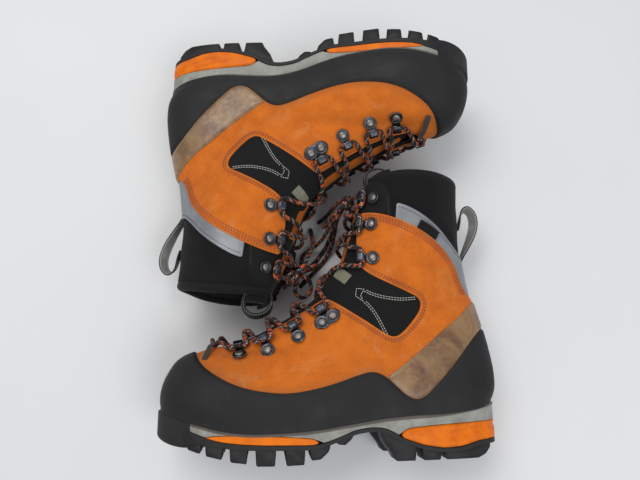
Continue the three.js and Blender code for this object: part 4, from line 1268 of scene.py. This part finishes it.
def tongue_points(rows, columns, out, raised=True):
    v = np.repeat(np.linspace(0.345, 1, rows), columns)
    k = np.tile(np.linspace(-1, 1, columns), rows)
    spread = 0.5 + 0.28 * ease((v - 0.345) / 0.35)
    lift = 9 * ease((v - 0.9) / 0.1)
    points = skin(math.pi + k * spread, v, out(k, v))
    if raised:
        points = points + np.stack([-0.35 * lift, 0 * lift, lift], axis=1)
    return points, k, v


# Name, lowest and highest place up the tongue, and half width as a share of the tongue's.
TONGUE_PATCHES = [
    ("tongue_patch_low", 0.36, 0.56, 0.62),
    ("tongue_patch_middle", 0.60, 0.74, 0.7),
    ("tongue_patch_top", 0.80, 0.9, 0.8),
]


def make_tongue(side):
    rows, columns = 130, 44
    outer = -LINING - 4 * GAP

    def front(k, v):
        quilt = 0.9 * np.abs(np.sin((v - 0.345) * 36)) ** 0.6 * (1 - np.abs(k) ** 4)
        return outer - 1.2 + quilt + 0.5 * ease((v - 0.93) / 0.05)

    top, k, v = tongue_points(rows, columns, front)

    def back(k, v):
        return outer - 4.2 - 1.6 * ease((v - 0.7) / 0.2) * (1 - np.abs(k) ** 3)

    low, _, _ = tongue_points(rows, columns, back)
    faces = [tuple(f) for f in grid_faces(rows, columns)[:, ::-1].tolist()]
    size = rows * columns
    faces = faces + [tuple(i + size for i in f)[::-1] for f in faces]
    points = [top, low]
    loop = np.array(rim_loops(faces[: len(faces) // 2])[0])
    middle = (top[loop] + low[loop]) / 2
    way = np.roll(top[loop], -1, axis=0) - np.roll(top[loop], 1, axis=0)
    up = top[loop] - low[loop]
    away = np.cross(way, up)
    away /= np.maximum(1e-9, np.linalg.norm(away, axis=1))[:, None]
    half = np.linalg.norm(up, axis=1)[:, None] / 2
    points.append(middle + away * half * 0.8)
    bulge = 2 * size + np.arange(len(loop))
    for a, b in ((loop, bulge), (bulge, loop + size)):
        faces += list(zip(np.roll(a, -1).tolist(), a.tolist(), b.tolist(), np.roll(b, -1).tolist()))
    pad = make_piece(side, "padded_tongue", np.vstack(points), faces, LOOKS["tongue"], "tongue",
                     "black_fabric", ["tongue"])
    # Suede overlays on the tongue, under the laces and at its top.
    for name, v0, v1, wide in TONGUE_PATCHES:
        n, m = 40, 16
        vv = np.repeat(np.linspace(v0, v1, n), m)
        kk = np.tile(np.linspace(-wide, wide, m), n)
        spread = 0.5 + 0.28 * ease((vv - 0.345) / 0.35)
        lift = 9 * ease((vv - 0.9) / 0.1)
        sheets = []
        for out in (outer + 0.5, outer - 1.0):
            p = skin(math.pi + kk * spread, vv, np.full(len(vv), out))
            sheets.append(p + np.stack([-0.35 * lift, 0 * lift, lift], axis=1))
        f = [tuple(q) for q in grid_faces(n, m)[:, ::-1].tolist()]
        both = f + [tuple(i + n * m for i in q)[::-1] for q in f]
        edge = rim_loops(f)[0]
        for a, b in zip(edge, edge[1:] + edge[:1]):
            both.append((b, a, a + n * m, b + n * m))
        make_piece(side, name, np.vstack(sheets), both, LOOKS["suede"], "tongue", "orange_leather",
                   extra={"edge": ("POINT", np.full(2 * n * m, 20.0))})


HEEL_LOOP = [
    [10.8, 185], [6.5, 193], [-0.5, 207], [-4.5, 220], [-3.5, 231], [2, 237], [7.6, 233], [10.6, 222],
]
TONGUE_LOOP = [
    [107.4, 263], [107.6, 269], [104.5, 275], [97, 279], [88, 279], [81, 273.5], [79.5, 264], [84, 253],
    [93, 247.5], [101.5, 246],
]


def loop_way(side, line, start_in, end_in, twist):
    """A pull loop's middle line, the way across its band and the way its outer face looks."""
    p = even(smooth([start_in] + line + [end_in], 8), 1.2)
    path = np.stack([p[:, 0], 0 * p[:, 0], p[:, 1]], axis=1)
    way = unit_rows(np.gradient(path, axis=0))
    out = np.cross(way, [0, 1, 0])
    most = math.radians(twist if side == "left" else -twist)
    turn = most * np.sin(math.pi * np.linspace(0, 1, len(path))) ** 1.5
    wide = np.array([0.0, 1.0, 0.0]) * np.cos(turn)[:, None] + out * np.sin(turn)[:, None]
    return path, wide, unit_rows(np.cross(way, wide))


def make_loop(side, name, line, node, start_in, end_in, grey, twist):
    """A pull loop of black webbing with a grey inner face and thin white rows along its edges."""
    path, wide, face = loop_way(side, line, start_in, end_in, twist)
    points, faces = strap_mesh(path, wide, 11.5, 1.3)
    mats = [1 if len(f) == 4 and {k % 12 for k in f} <= grey else 0 for f in faces]
    body = side + "_" + node.replace("pull_", "")
    piece = make_piece(side, name, points, faces, [LOOKS["webbing"], LOOKS["webbing_grey"]], None, "webbing",
                       [node], mats)
    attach(piece, body)
    rows = []
    inner = slice(8, -8)
    for across in (-4.4, 4.4):
        for way in (-1, 1):
            row = path + wide * across + face * way * 0.75
            rows.append(stitch_row(row[inner], (face * way)[inner], 2.6, 1.9, 0.22))
    piece = make_piece(side, name + "_edge_rows", *merged(rows), LOOKS["thread_white"], None, "webbing")
    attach(piece, body)


def make_loops(side):
    make_loop(side, "heel_loop_webbing", HEEL_LOOP, "heel_pull_loop", [13.6, 179], [13.2, 214],
              {1, 2, 3, 4, 5}, 34)
    make_loop(side, "tongue_loop_webbing", TONGUE_LOOP, "tongue_pull_loop", [106.2, 256], [105.8, 246],
              {7, 8, 9, 10, 11}, 28)


# ---- Lace hooks ----------------------------------------------------------------------------------

# Rivet centre, way to the lace channel and packing under it, from the toe to the collar.
HOOKS = [
    ("eyelet_1", (229.5, 87.5), (0.12, 1), 1.4),
    ("eyelet_2", (204, 93.5), (0.27, 0.96), 2.3),
    ("eyelet_3", (177.5, 105.5), (0.42, 0.91), 0),
    ("ankle_lock", (151.5, 121), (0.5, 0.87), 0),
    ("lower_hook", (108.5, 177.5), (1, 0.02), 0),
    ("middle_hook", (108, 210), (1, 0.02), 0),
    ("collar_hook", (105.5, 237), (1, 0.04), 0),
]
PLATE_MIDDLE = 5
TOE_CORNER = (255, 95)
CHANNEL_HALF = 4.4


def one_point(angle, v):
    return last_point(np.array([angle]), np.array([v]))[0]


def one_normal(angle, v):
    return last_normal(np.array([angle]), np.array([v]))[0]


def unit(vector):
    return vector / np.linalg.norm(vector)


def on_last(x, z, outer):
    angle, v = (float(a[0]) for a in locate(x, z))
    return (angle if outer else 2 * math.pi - angle), v


def hook_frame(spec, outer):
    """A frame at a hook's rivet: X towards the lace channel, Z out of the boot."""
    name, at, way, packing = spec

    def there(d):
        return on_last(at[0] + way[0] * d, at[1] + way[1] * d, outer)

    rivet = one_point(*there(0))
    reach = PLATE_MIDDLE
    for _ in range(4):
        reach *= PLATE_MIDDLE / np.linalg.norm(one_point(*there(reach)) - rivet)
    middle = there(reach)
    z = one_normal(*middle)
    x = one_point(*there(2 * reach)) - rivet
    x = unit(x - z * np.dot(x, z))
    y = np.cross(z, x)
    lift = (0 if name == "collar_hook" else LEATHER + GAP) + 3 * GAP + packing
    origin = one_point(*middle) - x * PLATE_MIDDLE + z * lift
    angle, v = there(2 * reach)
    return np.stack([x, y, z]), origin, angle, v


def turned(profile_line, sides=36):
    """A round solid from a line of (radius, height) that starts and ends on its axis."""
    a = np.arange(sides) / sides * 2 * math.pi
    rings = np.array(profile_line[1:-1], float)
    co = np.stack([rings[:, 0, None] * np.cos(a), rings[:, 0, None] * np.sin(a),
                   rings[:, 1, None] + 0 * a], axis=2).reshape(-1, 3)
    faces = [tuple(f) for f in grid_faces(len(rings), sides, closed_columns=True).tolist()]
    last = (len(rings) - 1) * sides
    faces += [tuple(range(sides))[::-1], tuple(last + k for k in range(sides))]
    return co, faces


RIM = [
    (0, 0), (3, 0), (6.0, 0), (6.4, 0.3), (6.4, 0.8), (6.0, 1.3), (5.4, 1.4), (4.7, 0.95), (3.6, 0.9),
    (0, 0.9),
]
DOME = [
    (0, 0.2), (3.8, 0.2), (3.9, 1.3), (3.75, 1.75), (3.2, 2.3), (2.3, 2.65), (1.2, 2.85), (0.3, 2.9),
    (0, 2.9),
]
HOOK_SIDE = [
    (-3, 0.45), (0, 0.45), (4, 0.45), (7.5, 0.45), (10.5, 0.45), (13, 0.6), (14.2, 1.7), (14.5, 3.6),
    (14.1, 5.6), (12.8, 6.9), (10.3, 7.15), (7.9, 7.0), (6.7, 6.3),
]


def make_hook(side, spec, outer):
    axes, origin, _, _ = hook_frame(spec, outer)
    twin = spec[0] == "ankle_lock"
    dark, bright = [], []
    for y in (-5.6, 5.6) if twin else (0,):
        for line, out in ((RIM, dark), (DOME, bright)):
            p, f = turned(line)
            out.append((p + [0, y, 0], f))
    line = even(smooth(HOOK_SIDE, 8), 0.5)
    path = np.stack([line[:, 0], 0 * line[:, 0], line[:, 1]], axis=1)
    width = 9.6 if twin else 8.6
    p, f = strap_mesh(path, (0, 1, 0), width, 0.9)
    # The plate narrows from the channel to the rivet, and the lip's corners are rounded.
    run = np.arange(len(path)) / (len(path) - 1)
    narrow = 1 - 0.22 * np.exp(-((run - 0.22) / 0.13) ** 2)
    narrow *= 1 - 0.35 * ease((run - 0.93) / 0.07)
    p[:, 1] *= np.repeat(narrow, 12)
    dark.append((p, f))
    points, faces = merged(dark + bright)
    first = sum(len(f) for _, f in dark)
    mats = [0] * first + [1] * (len(faces) - first)
    points = points @ axes + origin
    name = f"{spec[0]}_{'outer' if outer else 'inner'}"
    make_piece(side, f"metal_{name}", points, faces, [LOOKS["gunmetal"], LOOKS["rivet"]], "boot", "gunmetal",
               [name], mats)
    if twin:
        a = np.linspace(0, 2 * math.pi, 64, endpoint=False)
        apart = 5.6 * np.sign(np.sin(a)) * np.abs(np.sin(a)) ** 0.4
        wide = np.stack([7.2 * np.cos(a), apart + 7.2 * np.sin(a)], axis=1)
        wide[:, 0] *= 1 - 0.18 * np.exp(-(wide[:, 1] / 3.0) ** 2)
        rings = [np.column_stack([wide * k, np.full(64, h)])
                 for k, h in ((0.98, 0), (1.0, 0.25), (1.0, 0.6), (0.95, 0.9))]
        co = np.vstack(rings)
        plate = [tuple(q) for q in grid_faces(4, 64, closed_columns=True).tolist()]
        plate += [tuple(range(64))[::-1], tuple(192 + k for k in range(64))]
        make_piece(side, f"metal_plate_{name}", co @ axes + origin, plate, LOOKS["gunmetal"], "boot",
                   "gunmetal")


# ---- Laces ---------------------------------------------------------------------------------------

KNOT_CENTRE = skin(math.pi, 0.872, 6.5)[0]
KNOT_RADIUS = 9


def channel_of(spec, outer):
    axes, origin, angle, v = hook_frame(spec, outer)
    centre = np.array([10.25, 0, 1 + 5.3 / 2]) @ axes + origin
    way = axes[1]
    if way[2] - way[0] < 0:
        way = -way
    return centre, way, one_point(angle, v), one_normal(angle, v)


def surfacing(p, out):
    """Where points between the two sides meet the last when they move out along a direction."""
    wide = np.abs(p[:, 1] - bend(p[:, 0]))
    low, high = np.zeros(len(p)), np.full(len(p), 50.0)
    for _ in range(16):
        t = (low + high) / 2
        angle, v = locate(p[:, 0] + out[0] * t, p[:, 2] + out[2] * t)
        there = last_point(angle, v)
        short = there[:, 1] - bend(there[:, 0]) > wide
        low, high = np.where(short, t, low), np.where(short, high, t)
    t = (low + high) / 2
    angle, v = locate(p[:, 0] + out[0] * t, p[:, 2] + out[2] * t)
    return np.where(p[:, 1] > bend(p[:, 0]), angle, 2 * math.pi - angle), v


def lace_height(angle, v):
    p = last_point(angle, v)
    on_leather = signed_distance(leather_outline, p[:, 0], p[:, 2]) < 0
    on_tongue = signed_distance(opening_outline, p[:, 0], p[:, 2]) < 0
    height = np.where(on_tongue, -LINING + LACE + 3 * GAP, LACE + 5 * GAP)
    return np.where(on_leather, GAP + LEATHER + LACE + 3 * GAP, height)


def crossing(start, end, out, hump):
    """A stretch of lace across the front of the boot."""
    marks = np.array([0.15, 0.32, 0.5, 0.68, 0.85])
    shares = np.concatenate([[0], marks, [1]])
    angle, v = surfacing(start + (end - start) * shares[:, None], out)
    height = lace_height(angle, v)
    humps = [hump * (1 - float(ease(abs(mark - 0.5) / 0.25))) for mark in marks]
    return [skin(angle[i + 1], v[i + 1], max(height[i:i + 3]) + humps[i])[0] for i in range(len(marks))]


def toe_turn(outer):
    return one_point(*on_last(*TOE_CORNER, outer))


def climb(start_outer, over):
    points = []
    half = CHANNEL_HALF + LACE + 2 * GAP
    start, out_from = toe_turn(start_outer), np.array([0.2, 0, 1])
    for i, spec in enumerate(HOOKS):
        centre, way, base, out = channel_of(spec, (i % 2 == 0) != start_outer)
        outward = (out_from + out) * [1, 0, 1]
        end = base - way * half
        points += crossing(start, end, unit(outward), 2 * LACE + 2 * GAP if (i % 2 == 0) == over else 0)
        points += [centre - way * half, centre + way * half]
        start, out_from = base + way * half, out
    last = points[-1]
    stop = KNOT_CENTRE + unit(last - KNOT_CENTRE) * (KNOT_RADIUS + 3 * GAP - 4)
    return points + [(last + stop) / 2, stop]


def lace_path():
    bar = crossing(toe_turn(True), toe_turn(False), np.array([0.2, 0, 1]), 4)
    return np.array(climb(True, True)[::-1] + bar[1:-1] + climb(False, False))


# The free part of each lace: two loops and two ends from the knot, in the pair's frame.
LOOSE_LINES = {
    "left": [
        [[23, 34, 58], [18, 30.5, 56.5], [11, 25, 50], [4.5, 21, 40.5], [1.5, 19.5, 31], [4, 22, 22.5],
         [10.5, 27, 22], [16, 31.5, 29], [19.5, 35, 39], [23, 37, 49]],
        [[22, 40, 56], [17, 39.5, 51], [13, 38, 41], [9.5, 36.5, 30], [6, 35, 19], [2, 33.5, 9.5],
         [-3, 31.5, 2.9]],
        [[22, 33, 53], [16.5, 27, 51], [10.5, 19.5, 43.5], [4.5, 12, 32], [-1, 6, 21], [-8, 2, 12],
         [-15, -2, 7], [-20.5, -7.5, 4.5], [-21.5, -14.5, 3], [-15.5, -18.5, 2.4], [-8.5, -14.5, 2.4],
         [-2.5, -7, 2.6], [3, 0.5, 5], [8, 9, 12], [12, 17.5, 22], [16, 26, 34], [22, 35, 47]],
        [[22, 35, 48], [16, 24.5, 37], [13.5, 14, 24], [10.5, 2.5, 12], [5, -8, 4.6], [-2, -17, 2.4],
         [-9.5, -25.5, 2.4], [-16.5, -32.5, 2.4], [-22.5, -39, 2.4]],
    ],
    "right": [
        [[-25, -35, 51], [-24, -41, 49], [-26.5, -47, 45], [-25.5, -53, 39], [-19.5, -55.5, 33.5],
         [-13, -51.5, 31], [-11, -44, 33], [-14, -37.5, 38], [-24, -35, 46]],
        [[-25, -34, 53], [-17, -24, 52], [-13, -15, 47], [-10.5, -7, 38.5], [-9.5, 1.5, 28],
         [-10, 9.5, 18], [-11, 16.5, 9.5], [-12, 22.5, 2.9]],
        [[-25, -34, 50], [-15, -28, 47], [-8.5, -24, 40.5], [-4.5, -22, 31.5], [-4.5, -21.5, 22],
         [-9.5, -22.5, 15], [-16, -24.5, 14], [-20.5, -27, 20], [-22, -31, 32], [-26, -35, 46]],
        [[-26, -34, 46], [-19.5, -26, 36], [-17.5, -22, 25], [-20, -21.5, 15], [-26, -21, 7],
         [-33, -20, 2.8], [-40, -18, 2.4]],
    ],
}
LOOSE_NAMES = ("lace_loop_a", "lace_end_a", "lace_loop_b", "lace_end_b")
LACE_BODY = "boot"


def to_boot(side, points):
    """From the pair's frame in millimetres to a boot's own frame in millimetres."""
    matrix = np.array(PLACES[side].inverted())
    return points * MM @ matrix[:3, :3].T + matrix[:3, 3]


def make_free_laces(side):
    for name, line in zip(LOOSE_NAMES, LOOSE_LINES[side]):
        path = spline(np.array(line, float), 0.6)
        local = to_boot(side, path)
        points, faces, strand = braid(local, LACE)
        if "end" in name:
            sleeve, sleeve_faces = round_bar(to_boot(side, path[-24:]), LACE + 0.22, 16)
            make_piece(side, name + "_aglet", sleeve, sleeve_faces, LOOKS["aglet"], LACE_BODY,
                                     "lace_cord")
        cord = make_piece(side, name, points, faces, LOOKS["lace"], LACE_BODY, "lace_cord", ["lace_bow"],
                          extra={"strand": ("FACE", strand)})


def make_held_lace(side):
    points, faces, strand = braid(spline(HELD_PATH, 0.6), LACE)
    make_piece(side, "laced_cord", points, faces, LOOKS["lace"], LACE_BODY, "lace_cord", ["lace"],
               extra={"strand": ("FACE", strand)})
    t = np.linspace(0, 2 * math.pi, 90, endpoint=False)
    ring = 2 + np.cos(3 * t)
    coil = np.stack([2.4 * np.sin(3 * t), 2.05 * ring * np.cos(2 * t), 2.3 * ring * np.sin(2 * t)], axis=1)
    coil = np.vstack([coil, coil[:4]])
    wrap_t = np.linspace(-0.4, 2 * math.pi + 0.2, 50)
    wrap = np.stack([4.6 * np.cos(wrap_t), 0.25 * wrap_t - 1, 5.4 * np.sin(wrap_t)], axis=1)
    parts, strands = [], []
    for loop in (coil, wrap):
        p, f, s = braid(spline(loop + KNOT_CENTRE, 0.6), LACE)
        parts.append((p, f))
        strands.append(s)
    points, faces = merged(parts)
    make_piece(side, "knot", points, faces, LOOKS["lace"], LACE_BODY, "lace_cord", ["lace_bow"],
               extra={"strand": ("FACE", np.concatenate(strands))})


# ---- Stitching and small parts -------------------------------------------------------------------

def surface_stitches(line, out, pitch=2.7, length=1.9, radius=0.33, sides=("outer", "inner")):
    parts = []
    for which in sides:
        points, normals = on_side(even(np.asarray(line, float), 0.8), which == "outer", out)
        parts.append(stitch_row(points, normals, pitch, length, radius))
    return parts


# Pitch, length and radius of a stitch in the leather.
LEATHER_STITCH = (3.0, 1.25, 0.62)


def make_stitching(side):
    top = GAP + LEATHER + 0.32
    edge = smooth(LEATHER_TOP, 8)
    edge = edge[edge[:, 0] > 16]
    rows = []
    for by in (2.1, 4.3, 6.6):
        rows += surface_stitches(shifted(edge[edge[:, 0] < 112], by), top, *LEATHER_STITCH)
    window = smooth(WINDOW_EDGE, 8)
    for by in (2.4, 4.4):
        rows += surface_stitches(shifted(window, by), top, *LEATHER_STITCH)
    eyestay = smooth(EYESTAY, 8)
    rows += surface_stitches(shifted(eyestay, 2.6), top, *LEATHER_STITCH)
    band = smooth(BAND_EDGE, 8)
    rows += surface_stitches(shifted(band[band[:, 0] > 6], 2.2), top, *LEATHER_STITCH)
    make_piece(side, "seams_orange", *merged(rows), LOOKS["hole"], "boot", "orange_leather")
    grey = smooth(GREY_TOP, 8)
    grey = grey[(grey[:, 0] > 16) & (grey[:, 0] < 84)]
    make_piece(side, "seams_grey", *merged(surface_stitches(shifted(grey, 3.0), GAP + 1.0, 2.6, 1.7, 0.3)),
               LOOKS["thread_black"], "boot", "grey_fabric")
    arcs = []
    low = smooth(np.array([[99, 107.5], [105.5, 120], [112, 130.5], [119.5, 138.5]], float), 8)
    high = smooth(np.array([[72, 140.5], [86, 139.5], [100, 141], [111, 144], [118.5, 148]], float), 8)
    for line in (low, high):
        for by in (-0.95, 0.95):
            arcs += surface_stitches(shifted(line, by), GAP + 0.82, 2.6, 1.7, 0.28)
    box = np.array([[119.5, 137.5], [126, 142.5], [124.5, 149.5], [118, 148.5], [121.5, 143],
                    [119.5, 137.5]], float)
    arcs += surface_stitches(box, GAP + 0.82, 2.4, 1.6, 0.28)
    make_piece(side, "seams_white", *merged(arcs), LOOKS["thread_white"], "boot", "black_fabric")
    make_piece(side, "seams_black",
               *merged(surface_stitches(smooth(FACING_SEAM[:5], 8) + [2.4, -1.2], 0.9, 2.8, 1.9, 0.28)),
               LOOKS["thread_black"], "boot", "black_fabric")


def surface_strap(line, outer, outs, width, thick=1.0):
    """A strap that lies along a side-view line, at given distances out from the last."""
    path = even(smooth(np.asarray(line, float), 10), 0.7)
    share = np.linspace(0, 1, len(path))
    height = np.interp(share, np.linspace(0, 1, len(outs)), outs)
    angle, v = locate(path[:, 0], path[:, 1])
    angle = angle if outer else 2 * math.pi - angle
    points = skin(angle, v, height)
    normal = last_normal(angle, v)
    way = np.gradient(points, axis=0)
    return strap_mesh(points, np.cross(normal, way), width, thick)


def make_small_parts(side):
    keepers = [surface_strap([[131, 158], [136, 163], [141, 168.5]], outer, [1.6, 1.8, 0.4], 11, 1.1)
               for outer in (True, False)]
    make_piece(side, "lace_keeper", *merged(keepers), LOOKS["keeper"], "boot", "webbing")
    top = GAP + LEATHER
    line = [[261.5, 85.5], [258.5, 89.5], [255.5, 93], [252, 96.5]]
    heights = [top + 0.5, top + 3.5, 8.2, 7.4]
    loops = [surface_strap(line, outer, heights, 5.5, 1.0) for outer in (True, False)]
    make_piece(side, "toe_lace_loop", *merged(loops), LOOKS["keeper_dark"], "boot", "webbing")
    if side == "left":
        tag = surface_strap([[48.5, 199], [57, 204.7], [66, 209.8]], True, [GAP + 2.3] * 3, 9, 0.7)
        make_piece(side, "blank_tag", *tag, LOOKS["window"], "boot", "black_fabric")


# ---- Everything ----------------------------------------------------------------------------------

def make_floor():
    mesh = bpy.data.meshes.new("table_top")
    mesh.from_pydata([(-4, -4, 0), (4, -4, 0), (4, 4, 0), (-4, 4, 0)], [], [(0, 1, 2, 3)])
    mesh.materials.append(floor_look())
    floor = bpy.data.objects.new("table_top", mesh)
    bpy.context.scene.collection.objects.link(floor)


make_camera()
HELD_PATH = lace_path()
LOOKS.update(make_looks())
for one in SIDES:
    make_free_laces(one)
for one in SIDES:
    make_inner_boot(one)
    make_leather(one)
    make_window(one)
    make_rand(one)
    make_heel_band(one)
    make_reflective(one)
    make_outsole(one)
    make_midsole(one)
    make_wedges(one)
    make_inside_plates(one)
    make_tongue(one)
    make_loops(one)
    for hook in HOOKS:
        make_hook(one, hook, True)
        make_hook(one, hook, False)
    make_held_lace(one)
    make_stitching(one)
    make_small_parts(one)
make_floor()
make_light()
